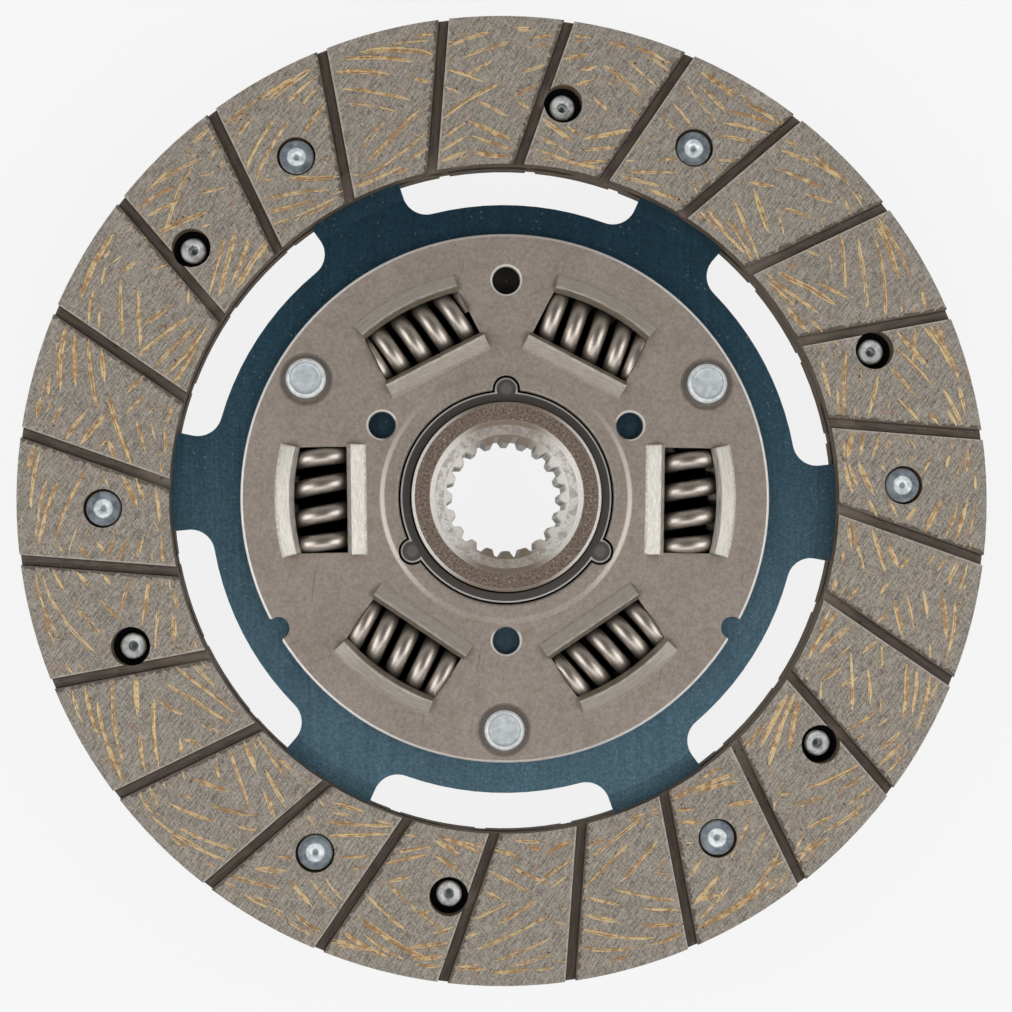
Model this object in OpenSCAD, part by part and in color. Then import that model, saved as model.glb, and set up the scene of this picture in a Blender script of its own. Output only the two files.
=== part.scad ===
// Clutch disc with a torsion damper. Its front looks towards +Z and its axis is the Z axis.
// The origin lies on the spline axis, in the middle of the carrier plate's thickness.

/* [Linings] */
// Outside diameter of both linings
lining_od = 200; // [196:0.5:208]
// Inside diameter of both linings
lining_id = 138.2; // [137.4:0.1:138.8]
// Thickness of one lining
lining_t = 3.3; // [2.8:0.1:4]
// Number of grooves in a lining
groove_n = 24; // [12:1:28]
// Width of a groove
groove_w = 2.1; // [1.2:0.1:2.8]
// Depth of a groove
groove_depth = 1.4; // [0.6:0.1:1.8]
// Lean of a groove from the radial direction, at the outer edge
groove_lean = 11.8; // [0:0.1:16]
// Angle of the first groove at the outer edge
groove_start = 7.5; // [0:0.1:14]

/* [Lining rivets] */
// Radius of the circle that the lining rivets stand on
rivet_circle_r = 82.6; // [79:0.1:87]
// Diameter of a rivet head
rivet_head_d = 7.2; // [5.8:0.1:7.3]
// Thickness of a rivet head
rivet_head_t = 1.2; // [0.8:0.1:1.5]
// Diameter of a rivet shank
rivet_shank_d = 4; // [3.6:0.1:4.6]
// Diameter of the rolled tail of a rivet
rivet_tail_d = 5.3; // [5:0.1:6.4]
// Diameter of the counterbores and of the clearance holes in the linings
rivet_hole_d = 8; // [7.4:0.1:9]
// Thickness of lining that a rivet head clamps
rivet_floor_t = 1.3; // [1:0.1:1.6]
// Angle of the first rivet with its head at the front
front_rivet_angle = 1.75; // [0:0.05:4]
// Angle of the first rivet with its head at the back
rear_rivet_angle = 21.8; // [20:0.1:23]

/* [Carrier plate] */
// Thickness of the spring steel sheet
carrier_t = 1; // [0.7:0.1:1.1]
// How far each pad half stands off the middle plane
wave_h = 0.5; // [0.2:0.05:0.6]
// Radius of the inner edge of the windows
window_r = 61.2; // [59:0.1:62.5]
// Angle that one window spans
window_angle = 43; // [38:0.5:45]
// Radius of the rounded inner corners of a window
window_fillet_r = 5; // [3:0.1:5.4]
// Angle of the first window's middle
window_start = 27.4; // [26:0.1:29]
// Radius of the inner edge of the pads
pad_inner_r = 70; // [69.8:0.1:71.5]
// Distance of the pads' outer edge from the edge of the linings
pad_margin = 1.5; // [0.5:0.1:3]
// Width of the slot between two pads
pad_slot_w = 4; // [2:0.5:7]
// Angle of the first pad's middle
pad_start = 11.8; // [11:0.1:12.6]

/* [Cover plates] */
// Thickness of both cover plates
plate_t = 2; // [1.6:0.1:2.2]
// Outside radius of the front plate
front_plate_r = 54.8; // [54:0.1:57]
// Outside radius of the rear plate
rear_plate_r = 54.2; // [54:0.1:57]
// Radius of the raised middle of the front plate
front_step_r = 26.2; // [25:0.1:26.3]
// Height of the raised middle of the front plate
front_step_h = 0.5; // [0.2:0.05:0.8]
// Width of the slope round the raised middle of the front plate
front_slope_w = 1.1; // [0.6:0.1:1.8]
// Distance of the rear plate's dished middle from the circle of the tab holes
tab_margin = 2.5; // [2.2:0.1:2.7]
// Depth of the dished middle of the rear plate
rear_step_h = 1; // [0.6:0.1:1.2]
// Width of the slope round the dished middle of the rear plate
rear_slope_w = 0.6; // [0.3:0.1:0.6]
// Bevel along the outer edge of the cover plates
plate_bevel = 0.3; // [0.1:0.05:0.6]
// Rolled-in bevel round the punched holes of the front plate
hole_bevel = 0.4; // [0.2:0.05:0.5]
// Radius of the round notches in the front plate's rim
rim_notch_r = 2.3; // [1.6:0.1:2.6]
// Angles of the rim notches
rim_notch_angles = [210, 330];
// Radius of the circle that the sighting hole stands on
sight_circle_r = 45.1; // [44.6:0.1:46]
// Diameter of the sighting hole at the top
sight_hole_d = 5.8; // [5:0.1:6.4]
// Radius of the circle that the three tab holes stand on
tab_circle_r = 29.7; // [29.6:0.05:29.9]
// Diameter of the three tab holes in the front plate
tab_hole_d = 5.6; // [4.8:0.1:5.8]

/* [Damper springs] */
// Distance of the springs from the disc's axis
spring_circle_r = 38.3; // [38.1:0.05:38.5]
// Outside diameter of a spring
spring_od = 15; // [14.4:0.05:15.1]
// Wire diameter of a spring
spring_wire_d = 3.7; // [3.2:0.05:3.75]
// Length of a fitted spring
spring_l = 21.7; // [21.4:0.05:21.8]
// Pitch of the free turns of the two soft springs
soft_pitch = 6.05; // [5.8:0.05:6.2]
// Pitch of the free turns of the four stiff springs
stiff_pitch = 5.05; // [4.9:0.05:5.3]
// Thickness of the ground tip of a spring's wire
tip_t = 0.9; // [0.6:0.1:1.4]
// Angles of the six springs
spring_angles = [-1, 62.5, 117.5, 181, 236, 304];
// Turn of each spring about its own axis
spring_turns = [38, -90, 20, 5, 184, 184];
// Length of the spring windows
spring_window_l = 21.9; // [21.9:0.05:22.2]
// Width of the spring windows in the hub flange
spring_window_w = 15.4; // [15.3:0.1:15.6]
// Width of the spring windows in the carrier plate
carrier_window_w = 14.2; // [14.1:0.05:14.4]
// Width of the gap between the lips of a window
lip_gap = 10.9; // [10.4:0.1:11.2]
// Slope of the lips
lip_slope = 28; // [24:0.5:30]
// Angle that an outer lip spans
outer_lip_angle = 28.6; // [28:0.1:29.4]
// Length of an inner lip
inner_lip_l = 22.8; // [22.3:0.1:23.2]
// Width of a lip, seen along the axis
lip_w = 4; // [3.8:0.1:4.2]

/* [Stop pins] */
// Radius of the circle that the stop pins stand on
pin_circle_r = 48; // [47.5:0.05:48.3]
// Diameter of a pin between the plates
pin_body_d = 8; // [7.4:0.1:8.4]
// Diameter of a pin inside the plates
pin_tenon_d = 6; // [5.4:0.1:6.4]
// Diameter of a pin's riveted head
pin_head_d = 8.2; // [7.4:0.1:8.6]
// Height of a pin's riveted head
pin_head_h = 2.1; // [1.4:0.1:2.6]
// Diameter of the dimple round a pin's head
pin_dimple_d = 11.2; // [10.6:0.1:11.2]
// Depth of the dimple round a pin's head
pin_dimple_depth = 0.4; // [0.2:0.05:0.7]
// Width of the slope round the floor of the dimple
pin_dimple_slope = 0.9; // [0.3:0.1:1]

/* [Hub] */
// Radius of the hub's front barrel
hub_r = 19.56; // [19.2:0.02:19.8]
// Radius of the hub's rear barrel
hub_rear_r = 17.5; // [17:0.05:17.8]
// Height of the hub's front face
hub_front_z = 5.5; // [4:0.1:7]
// Depth of the hub's rear face
hub_rear_z = -17; // [-22:0.5:-14.5]
// Radius at which the countersink of the bore starts
cone_r = 15.8; // [14.5:0.1:16.4]
// Width and depth of the steep edge of the countersink
cone_edge = 1; // [0.4:0.1:1.2]
// Fall of the flatter face between the steep edge and the teeth
cone_fall = 0.3; // [0.1:0.05:0.8]
// Distance from the tooth spaces to the start of the teeth's own bevel
tooth_bevel_out = 0.4; // [0.1:0.1:0.8]
// Number of spline teeth
spline_n = 20; // [16:1:24]
// Diameter over the spline's tooth spaces
spline_major_d = 25; // [24.6:0.1:25.4]
// Diameter inside the spline's teeth
spline_minor_d = 22.4; // [22:0.1:22.8]
// Thickness of the hub flange
flange_t = 4; // [3.5:0.1:4.2]
// Width of the hub flange outside its spring windows
flange_web = 4; // [3.5:0.1:4.5]
// Angle that the hub turns to each side
twist_angle = 7.5; // [5:0.1:7.8]

/* [Friction pack] */
// Thickness of the flange of the front friction ring
front_ring_t = 1; // [0.8:0.05:1.2]
// Thickness of the rear friction ring
rear_ring_t = 0.95; // [0.8:0.05:1.2]
// Distance of the friction rings' edge from the edge of the rear plate's dished middle
ring_margin = 0.2; // [0:0.1:1.6]
// Wall of the front friction ring's collar
collar_wall = 2.29; // [2:0.01:2.8]
// Radius of the three lobes on the collar
lobe_r = 2.4; // [2:0.05:2.8]
// Distance of the lobes' middle from the outside of the collar
lobe_out = 0.55; // [0.2:0.05:0.9]
// Thickness of the thrust ring
thrust_t = 0.8; // [0.6:0.05:1]
// Bevel along the edges of the collar and its lobes
collar_bevel = 0.35; // [0.2:0.05:0.6]
// Depth of the lobes' tops below the top of the collar
lobe_drop = 0.03; // [0.02:0.01:0.1]
// Clearance of the thrust ring in the dished middle of the rear plate
thrust_gap = 0.4; // [0.3:0.1:1.2]
// Width of a tab of the thrust ring
tab_w = 5; // [4:0.1:6]
// Thickness of the spring washer
washer_t = 0.8; // [0.6:0.05:0.9]
// Height of the spring washer, pressed
washer_h = 1.75; // [1.5:0.05:2]

/* [Clearances] */
// Radial running clearance of the hub in its rings
running_gap = 0.06; // [0.02:0.01:0.1]
// Axial clearance on each side of the hub flange
axial_gap = 0.1; // [0.05:0.01:0.2]
// Clearance of rivets and pins in their holes
hole_gap = 0.05; // [0.02:0.01:0.1]
// Clearance between the collar and the carrier plate that centres it
collar_gap = 0.1; // [0.05:0.01:0.3]
// Clearance between the collar and the hole of the front plate
front_hole_gap = 0.4; // [0.3:0.05:0.6]
// Clearance between the lobes and the round notches for them
lobe_gap = 0.45; // [0.1:0.05:0.6]
// Clearance of a stop pin at the end of its travel
pin_gap = 0.25; // [0.15:0.05:0.4]

/* [Hidden] */
$fn = 96;

lining_r = lining_od / 2;
lining_back_z = carrier_t / 2 + wave_h;
lining_face_z = lining_back_z + lining_t;
rivet_pitch = 60;
window_n = 6;
pad_outer_r = lining_r - pad_margin;
pin_angles = [29.5, 149.5, 269.5];
tab_angles = [30, 150, 270];
lobe_angles = [90, 210, 330];
sight_angle = 90;

collar_r = hub_r + collar_wall;
lobe_circle_r = collar_r + lobe_out;
carrier_hole_r = collar_r + collar_gap;
front_hole_r = collar_r + front_hole_gap;
flange_r = spring_circle_r + spring_window_w / 2 + flange_web;
rear_step_r = tab_circle_r - tab_margin;
ring_flange_r = rear_step_r - ring_margin;
thrust_r = rear_step_r - thrust_gap;

front_plate_z = carrier_t / 2;
front_face_z = front_plate_z + plate_t;

ring_z = -carrier_t / 2;
flange_top_z = ring_z - front_ring_t - axial_gap;
flange_back_z = flange_top_z - flange_t;
spring_z = (flange_top_z + flange_back_z) / 2;
rear_ring_top_z = flange_back_z - axial_gap;
thrust_top_z = rear_ring_top_z - rear_ring_t;
washer_top_z = thrust_top_z - thrust_t;
dish_z = washer_top_z - washer_h;
rear_plate_top_z = dish_z + rear_step_h;
rear_plate_back_z = rear_plate_top_z - plate_t;
rear_hole_gap = 1.5;
rear_hole_r = hub_rear_r + rear_hole_gap;
washer_gap = 1;
washer_margin = 0.3;
washer_inner_r = hub_rear_r + washer_gap;
washer_outer_r = thrust_r - washer_margin;
thrust_inner_r = hub_rear_r + 2 * washer_gap / 3;
tab_t = thrust_t;
tab_slot_gap = 0.2;
tab_out = 0.4;
tab_end_z = rear_plate_back_z - tab_out;
hub_foot = 0.6;
rear_cone_r = cone_r - 1;
collar_drop = 0.4;
collar_top_z = front_face_z + front_step_h - collar_drop;

spring_mean_r = (spring_od - spring_wire_d) / 2;
lip_tip_in_r = spring_circle_r - lip_gap / 2;
lip_tip_out_r = spring_circle_r + lip_gap / 2;
over = 1;

// Puts its children at a radius and an angle round the axis, once for each angle.
module around(angles, r = 0) {
    for (a = angles) rotate([0, 0, a]) translate([r, 0, 0]) children();
}

function every(pitch, start) = [for (a = [0 : pitch : 359]) a + start];

front_rivet_angles = every(rivet_pitch, front_rivet_angle);
rear_rivet_angles = every(rivet_pitch, rear_rivet_angle);

// One ring of lining with its back at z = 0. The heads sit in counterbores at head_angles,
// and the tails of the other side's rivets have room at tail_angles.
module lining(head_angles, tail_angles) {
    difference() {
        cylinder(r = lining_r, h = lining_t, $fn = 180);
        translate([0, 0, -over]) cylinder(r = lining_id / 2, h = lining_t + 2 * over, $fn = 180);
        around(every(360 / groove_n, groove_start), lining_r)
            rotate([0, 0, 180 - groove_lean])
                translate([-lining_r / 2, -groove_w / 2, lining_t - groove_depth])
                    cube([lining_r, groove_w, groove_depth + over]);
        around(head_angles, rivet_circle_r) {
            translate([0, 0, -over]) cylinder(d = rivet_shank_d + 2 * hole_gap, h = lining_t + over);
            translate([0, 0, rivet_floor_t]) cylinder(d = rivet_hole_d, h = lining_t);
        }
        around(tail_angles, rivet_circle_r)
            translate([0, 0, -over]) cylinder(d = rivet_hole_d, h = lining_t + 2 * over);
    }
}

module front_lining() {
    color([0.42, 0.38, 0.34])
        translate([0, 0, lining_back_z]) lining(front_rivet_angles, rear_rivet_angles);
}

// The same moulding turned over. Its counterbores come to lie at the rear rivets.
module rear_lining() {
    color([0.42, 0.38, 0.34])
        rotate([0, 0, front_rivet_angle + rear_rivet_angle])
            rotate([180, 0, 0])
                translate([0, 0, lining_back_z]) lining(front_rivet_angles, rear_rivet_angles);
}

// A semi-tubular rivet with its head up. The sheet that it holds reaches from z = 0 to grip.
module rivet(grip) {
    head_z = grip + rivet_head_t;
    head_r = rivet_head_d / 2;
    shank_r = rivet_shank_d / 2;
    tail_r = rivet_tail_d / 2;
    bore_r = shank_r / 2;
    edge = 0.3;
    dimple_r = 1.1;
    dimple_floor_r = 0.5;
    dimple_depth = 0.5;
    tail_h = 0.85;
    curl = 0.35;
    rotate_extrude()
        polygon([[0, head_z - dimple_depth], [dimple_floor_r, head_z - dimple_depth],
            [dimple_r, head_z], [head_r - edge, head_z], [head_r, head_z - edge], [head_r, grip],
            [shank_r, grip], [shank_r, 0], [tail_r, 0], [tail_r, curl - tail_h],
            [tail_r - curl, -tail_h], [bore_r + curl, -tail_h], [bore_r, curl - tail_h],
            [bore_r, grip / 2], [0, (grip + bore_r) / 2]]);
}

rivet_grip = carrier_t + rivet_floor_t;

module front_rivets() {
    color([0.72, 0.74, 0.75])
        around(front_rivet_angles, rivet_circle_r)
            translate([0, 0, lining_back_z - carrier_t]) rivet(rivet_grip);
}

module rear_rivets() {
    color([0.72, 0.74, 0.75])
        mirror([0, 0, 1])
            around(rear_rivet_angles, rivet_circle_r)
                translate([0, 0, lining_back_z - carrier_t]) rivet(rivet_grip);
}

// Outline of the sheet between the hub and the pads: a disc with six spokes and round corners.
module carrier_outline() {
    spoke_pitch = 360 / window_n;
    spoke_angle = spoke_pitch - window_angle;
    spoke_start = window_start - spoke_pitch / 2;
    far_r = pad_inner_r + 2;
    fillet_angle = asin(window_fillet_r / (window_r + window_fillet_r));
    half = spoke_angle / 2;
    circle(r = window_r, $fn = 180);
    around(every(spoke_pitch, spoke_start))
        difference() {
            intersection() {
                circle(r = far_r, $fn = 180);
                polygon([[0, 0],
                    [2 * far_r * cos(half + fillet_angle), -2 * far_r * sin(half + fillet_angle)],
                    [2 * far_r * cos(half + fillet_angle), 2 * far_r * sin(half + fillet_angle)]]);
            }
            for (side = [-1, 1]) {
                rotate([0, 0, side * (half + fillet_angle)])
                    translate([window_r + window_fillet_r, 0]) circle(r = window_fillet_r);
                rotate([0, 0, side * half])
                    polygon([[fillet_foot(fillet_angle), 0], [2 * far_r, 0],
                        [2 * far_r, side * far_r], [fillet_foot(fillet_angle), side * far_r]]);
            }
        }
}

// Distance from the axis at which a round corner runs into the side of a spoke.
function fillet_foot(angle) = (window_r + window_fillet_r) * cos(angle);

// Outline of one pad, with its middle on the X axis.
module pad_outline() {
    pad_pitch = 360 / window_n;
    difference() {
        intersection() {
            circle(r = pad_outer_r, $fn = 180);
            polygon([[0, 0],
                [2 * pad_outer_r * cos(pad_pitch / 2), -2 * pad_outer_r * sin(pad_pitch / 2)],
                [2 * pad_outer_r * cos(pad_pitch / 2), 2 * pad_outer_r * sin(pad_pitch / 2)]]);
        }
        circle(r = pad_inner_r, $fn = 180);
        for (side = [-1, 1])
            rotate([0, 0, side * pad_pitch / 2])
                translate([0, -pad_slot_w / 2]) square([lining_od, pad_slot_w]);
    }
}

// Section of the waved sheet across a pad: high on one side, low on the other.
module wave_section() {
    bend = 3;
    far = lining_r;
    polygon([[-far, wave_h - carrier_t / 2], [-bend, wave_h - carrier_t / 2],
        [bend, -wave_h - carrier_t / 2], [far, -wave_h - carrier_t / 2],
        [far, -wave_h + carrier_t / 2], [bend, -wave_h + carrier_t / 2],
        [-bend, wave_h + carrier_t / 2], [-far, wave_h + carrier_t / 2]]);
}

module pad() {
    intersection() {
        translate([0, 0, -lining_back_z]) linear_extrude(2 * lining_back_z) pad_outline();
        rotate([90, 0, 90]) linear_extrude(lining_od) wave_section();
    }
}

// Section of the sheet along a spoke: it steps up to the high side of its pad.
module spoke_section() {
    rise_l = 3.5;
    lap = 1.5;
    step_r = pad_inner_r - 1;
    start_r = step_r - rise_l;
    end_r = pad_inner_r + lap;
    low = -carrier_t / 2;
    high = carrier_t / 2;
    polygon([[1, low], [start_r, low], [step_r, low + wave_h], [end_r, low + wave_h],
        [end_r, high + wave_h], [step_r, high + wave_h], [start_r, high], [1, high]]);
}

module carrier_plate() {
    color([0.11, 0.22, 0.28])
        difference() {
            union() {
                intersection() {
                    rotate_extrude($fn = 180) spoke_section();
                    translate([0, 0, -lining_back_z])
                        linear_extrude(2 * lining_back_z) carrier_outline();
                }
                around(every(360 / window_n, pad_start)) pad();
            }
            collar_hole(carrier_hole_r, -lining_back_z, lining_back_z);
            around(spring_angles, spring_circle_r)
                translate([-carrier_window_w / 2, -spring_window_l / 2, -lining_back_z])
                    cube([carrier_window_w, spring_window_l, 2 * lining_back_z]);
            pin_holes(-lining_back_z, lining_back_z);
            around([sight_angle], sight_circle_r)
                translate([0, 0, -lining_back_z]) cylinder(d = sight_hole_d, h = 2 * lining_back_z);
            around(concat(front_rivet_angles, rear_rivet_angles), rivet_circle_r)
                translate([0, 0, -lining_back_z])
                    cylinder(d = rivet_shank_d + 2 * hole_gap, h = 2 * lining_back_z);
        }
}

// Cuts that go through more than one plate, each from z0 up to z1.
module collar_hole(hole_r, z0, z1) {
    translate([0, 0, z0]) cylinder(r = hole_r, h = z1 - z0);
    around(lobe_angles, lobe_circle_r)
        translate([0, 0, z0]) cylinder(r = lobe_r + lobe_gap, h = z1 - z0);
}

module pin_holes(z0, z1) {
    around(pin_angles, pin_circle_r)
        translate([0, 0, z0]) cylinder(d = pin_tenon_d + 2 * hole_gap, h = z1 - z0);
}

// A punched hole in a plate with its inner side at z = 0, and a bevel at its outer side.
module punched_hole(d) {
    rotate_extrude()
        polygon([[0, -over], [d / 2, -over], [d / 2, plate_t - hole_bevel],
            [d / 2 + hole_bevel + over, plate_t + over], [0, plate_t + over]]);
}

// Places along a lip's section. The lip rises from the plate's face at its foot to its tip.
lip_dx = plate_t * sin(lip_slope);
lip_dz = plate_t * cos(lip_slope);
lip_top_z = plate_t + (lip_w - lip_dx) * tan(lip_slope);
lip_under_w = (lip_top_z - lip_dz) / tan(lip_slope);

// Section of a lip. x is the distance from the tip towards the foot, y the height over the
// inner side of the plate.
module lip_section() {
    polygon([[lip_w + over, plate_t], [lip_w, plate_t], [lip_dx, lip_top_z],
        [0, lip_top_z - lip_dz], [lip_under_w, 0], [lip_w + over, 0]]);
}

module outer_lip() {
    rotate([0, 0, -outer_lip_angle / 2])
        rotate_extrude(angle = outer_lip_angle, $fn = 180)
            translate([lip_tip_out_r, 0]) lip_section();
}

module inner_lip() {
    translate([lip_tip_in_r, inner_lip_l / 2, 0])
        rotate([90, 0, 0]) mirror([1, 0, 0]) linear_extrude(inner_lip_l) lip_section();
}

// A spring window with both lips, cut from the inner side of a plate at z = 0 outwards.
module window_cut() {
    intersection() {
        translate([lip_tip_in_r - lip_under_w, -spring_window_l / 2, -over])
            cube([lip_gap + 2 * lip_under_w + over, spring_window_l, plate_t + 2 * over]);
        translate([0, 0, -over])
            cylinder(r = lip_tip_out_r + lip_under_w, h = plate_t + 2 * over, $fn = 180);
    }
}

// The dimple round a pin's head, in a plate with its inner side at z = 0.
module pin_dimple() {
    dimple_r = pin_dimple_d / 2;
    rotate_extrude()
        polygon([[0, plate_t - pin_dimple_depth],
            [dimple_r - pin_dimple_slope, plate_t - pin_dimple_depth],
            [dimple_r, plate_t], [dimple_r, plate_t + over], [0, plate_t + over]]);
}

// A cover plate with its inner side at z = 0. The middle within step_r stands out by step_h,
// and is hollow by as much on the inner side. The slope round the middle has a width of slope.
module cover_plate(rim_r, step_r, step_h, slope, hole_r) {
    edge = plate_bevel;
    top = plate_t + step_h;
    difference() {
        union() {
            difference() {
                rotate_extrude($fn = 180)
                    polygon([[hole_r, 0], [rim_r, 0], [rim_r, plate_t - edge],
                        [rim_r - edge, plate_t], [step_r, plate_t], [step_r - slope, top],
                        [hole_r + edge, top], [hole_r, top - edge]]);
                around(spring_angles) window_cut();
            }
            around(spring_angles) {
                outer_lip();
                inner_lip();
            }
        }
        rotate_extrude($fn = 180)
            polygon([[0, -over], [step_r + slope * over / step_h, -over],
                [step_r - slope, step_h], [0, step_h]]);
        around(pin_angles, pin_circle_r) pin_dimple();
        pin_holes(-over, plate_t + over);
        around([sight_angle], sight_circle_r) punched_hole(sight_hole_d);
    }
}

// A round notch in a plate's rim, with its mouth opened out.
module rim_notch() {
    depth_r = front_plate_r - rim_notch_r * 0.3;
    throat = rim_notch_r * 0.9;
    mouth = rim_notch_r * 1.54;
    translate([depth_r, 0, -over]) cylinder(r = rim_notch_r, h = plate_t + 2 * over);
    translate([0, 0, -over])
        linear_extrude(plate_t + 2 * over)
            polygon([[depth_r, -throat], [front_plate_r + over, -mouth],
                [front_plate_r + over, mouth], [depth_r, throat]]);
}

module front_plate() {
    color([0.47, 0.43, 0.4])
        translate([0, 0, front_plate_z])
            difference() {
                cover_plate(front_plate_r, front_step_r, front_step_h, front_slope_w, front_hole_r);
                collar_hole(front_hole_r, -over, plate_t + front_step_h + over);
                around(tab_angles, tab_circle_r) punched_hole(tab_hole_d);
                around(rim_notch_angles) rim_notch();
            }
}

module rear_plate() {
    color([0.47, 0.43, 0.4])
        translate([0, 0, rear_plate_top_z])
            mirror([0, 0, 1])
                difference() {
                    cover_plate(rear_plate_r, rear_step_r, rear_step_h, rear_slope_w, rear_hole_r);
                    around(tab_angles, tab_circle_r)
                        translate([-tab_t - 2 * tab_slot_gap, -tab_w / 2 - tab_slot_gap, -over])
                            cube([tab_t + 3 * tab_slot_gap, tab_w + 2 * tab_slot_gap,
                                plate_t + 2 * over]);
                }
}

// Outline of the spline bore: teeth reach in from the major circle, and narrow towards the tip.
module spline_outline() {
    pitch = 360 / spline_n;
    tip_angle = pitch * 0.17;
    root_angle = pitch * 0.36;
    tip = [cos(tip_angle), sin(tip_angle)] * spline_minor_d / 2;
    root = [cos(root_angle), sin(root_angle)] * spline_major_d / 2;
    beyond = tip + (root - tip) * 1.5;
    difference() {
        circle(d = spline_major_d);
        around(every(pitch, 0))
            polygon([[tip.x, -tip.y], tip, beyond, [beyond.x, -beyond.y]]);
    }
}

// A slot in the hub flange that is open outwards, in which a stop pin travels.
module pin_slot() {
    slot_r = pin_body_d / 2 + pin_gap;
    function turned(p, a) = [p.x * cos(a) - p.y * sin(a), p.x * sin(a) + p.y * cos(a)];
    inner = turned([pin_circle_r - slot_r, slot_r], twist_angle);
    outer = turned([2 * flange_r, slot_r], twist_angle);
    translate([0, 0, flange_back_z - over])
        linear_extrude(flange_t + 2 * over)
            polygon([[inner.x, -inner.y], [outer.x, -outer.y], outer, inner]);
}

// The countersink that opens the bore towards an end face at z = 0: a steep edge, a flatter face
// and a bevel of 45 degrees across the teeth.
module countersink(end_r) {
    tooth_r = spline_major_d / 2 + tooth_bevel_out;
    tooth_z = -cone_edge - cone_fall;
    rotate_extrude()
        polygon([[0, tooth_z - tooth_r], [tooth_r, tooth_z], [end_r - cone_edge, -cone_edge],
            [end_r, 0], [end_r, over], [0, over]]);
}

module hub() {
    edge = 0.6;
    color([0.4, 0.34, 0.3])
        difference() {
            union() {
                rotate_extrude()
                    polygon([[0, hub_rear_z], [hub_rear_r - edge, hub_rear_z],
                        [hub_rear_r, hub_rear_z + edge], [hub_rear_r, flange_back_z - hub_foot],
                        [hub_rear_r + hub_foot, flange_back_z], [hub_r + hub_foot, flange_top_z],
                        [hub_r, flange_top_z + hub_foot], [hub_r, hub_front_z - edge],
                        [hub_r - edge, hub_front_z], [0, hub_front_z]]);
                translate([0, 0, flange_back_z]) cylinder(r = flange_r, h = flange_t, $fn = 180);
            }
            translate([0, 0, hub_rear_z - over])
                linear_extrude(hub_front_z - hub_rear_z + 2 * over) spline_outline();
            translate([0, 0, hub_front_z]) countersink(cone_r);
            translate([0, 0, hub_rear_z]) mirror([0, 0, 1]) countersink(rear_cone_r);
            around(spring_angles, spring_circle_r)
                translate([-spring_window_w / 2, -spring_window_l / 2, flange_back_z - over])
                    cube([spring_window_w, spring_window_l, flange_t + 2 * over]);
            around(pin_angles) pin_slot();
        }
}

// Height of the spring's wire along the spring's axis, for a turn counted from the middle. The
// free turns have their own pitch, and the turn at each end closes onto its neighbour.
wire_r = spring_wire_d / 2;
closed_pitch = spring_wire_d * 1.02;
closed_turns = 0.9;
free_h = spring_l / 2 + wire_r - tip_t - closed_turns * closed_pitch;
function wire_height(turn, pitch) =
    abs(turn) * pitch <= free_h
        ? turn * pitch
        : sign(turn) * (free_h + (abs(turn) - free_h / pitch) * closed_pitch);

// The wire as a swept tube with rings of points. Its ends are ground flat by a box.
wire_sides = 8;
wire_steps = 96;
function wire_point(step, side, pitch, start) =
    let (end_turn = free_h / pitch + closed_turns,
        turn = end_turn * (2 * step / wire_steps - 1),
        a = 360 * turn + start,
        b = 360 * (side + 0.5) / wire_sides,
        lift = atan(pitch / (2 * PI * spring_mean_r)),
        out = spring_mean_r + wire_r * cos(b),
        along = wire_height(turn, pitch) + wire_r * sin(b) * cos(lift),
        back = -wire_r * sin(b) * sin(lift))
    [out * cos(a) - back * sin(a), along, -(out * sin(a) + back * cos(a))];
function ring_face(step, side) =
    let (i = step * wire_sides + side, j = step * wire_sides + (side + 1) % wire_sides)
    [i, j, j + wire_sides, i + wire_sides];

module spring_wire(pitch, start) {
    points = [for (s = [0 : wire_steps]) for (k = [0 : wire_sides - 1])
        wire_point(s, k, pitch, start)];
    sides = [for (s = [0 : wire_steps - 1]) for (k = [0 : wire_sides - 1]) ring_face(s, k)];
    first = [for (k = [wire_sides - 1 : -1 : 0]) k];
    last = [for (k = [0 : wire_sides - 1]) wire_steps * wire_sides + k];
    polyhedron(points = points, faces = concat([first], sides, [last]));
}

// One damper spring in its window. The springs at the left and right are softer than the others.
spring_pitches = [soft_pitch, stiff_pitch, stiff_pitch, soft_pitch, stiff_pitch, stiff_pitch];

module damper_spring(i) {
    color([0.45, 0.4, 0.36])
        rotate([0, 0, spring_angles[i]])
            translate([spring_circle_r, 0, spring_z])
                intersection() {
                    rotate([0, 90, 0]) spring_wire(spring_pitches[i], spring_turns[i]);
                    cube([2 * spring_od, spring_l, 2 * spring_od], center = true);
                }
}

// A shouldered pin. It goes through all plates and is riveted over at both ends.
module stop_pin(angle) {
    body_r = pin_body_d / 2;
    tenon_r = pin_tenon_d / 2;
    head_r = pin_head_d / 2;
    edge = 0.5;
    ring_r = head_r - 2 * edge;
    hollow = edge / 2;
    front_z = front_face_z - pin_dimple_depth;
    back_z = rear_plate_back_z + pin_dimple_depth;
    color([0.75, 0.77, 0.78])
        around([angle], pin_circle_r)
            rotate_extrude()
                polygon([[0, back_z - pin_head_h], [head_r - edge, back_z - pin_head_h],
                    [head_r, back_z - pin_head_h + edge], [head_r, back_z], [tenon_r, back_z],
                    [tenon_r, rear_plate_top_z], [body_r, rear_plate_top_z],
                    [body_r, ring_z], [tenon_r, ring_z], [tenon_r, front_z], [head_r, front_z],
                    [head_r, front_z + pin_head_h - edge], [head_r - edge, front_z + pin_head_h],
                    [ring_r, front_z + pin_head_h],
                    [ring_r - hollow, front_z + pin_head_h - hollow],
                    [0, front_z + pin_head_h - hollow]]);
}

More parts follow.
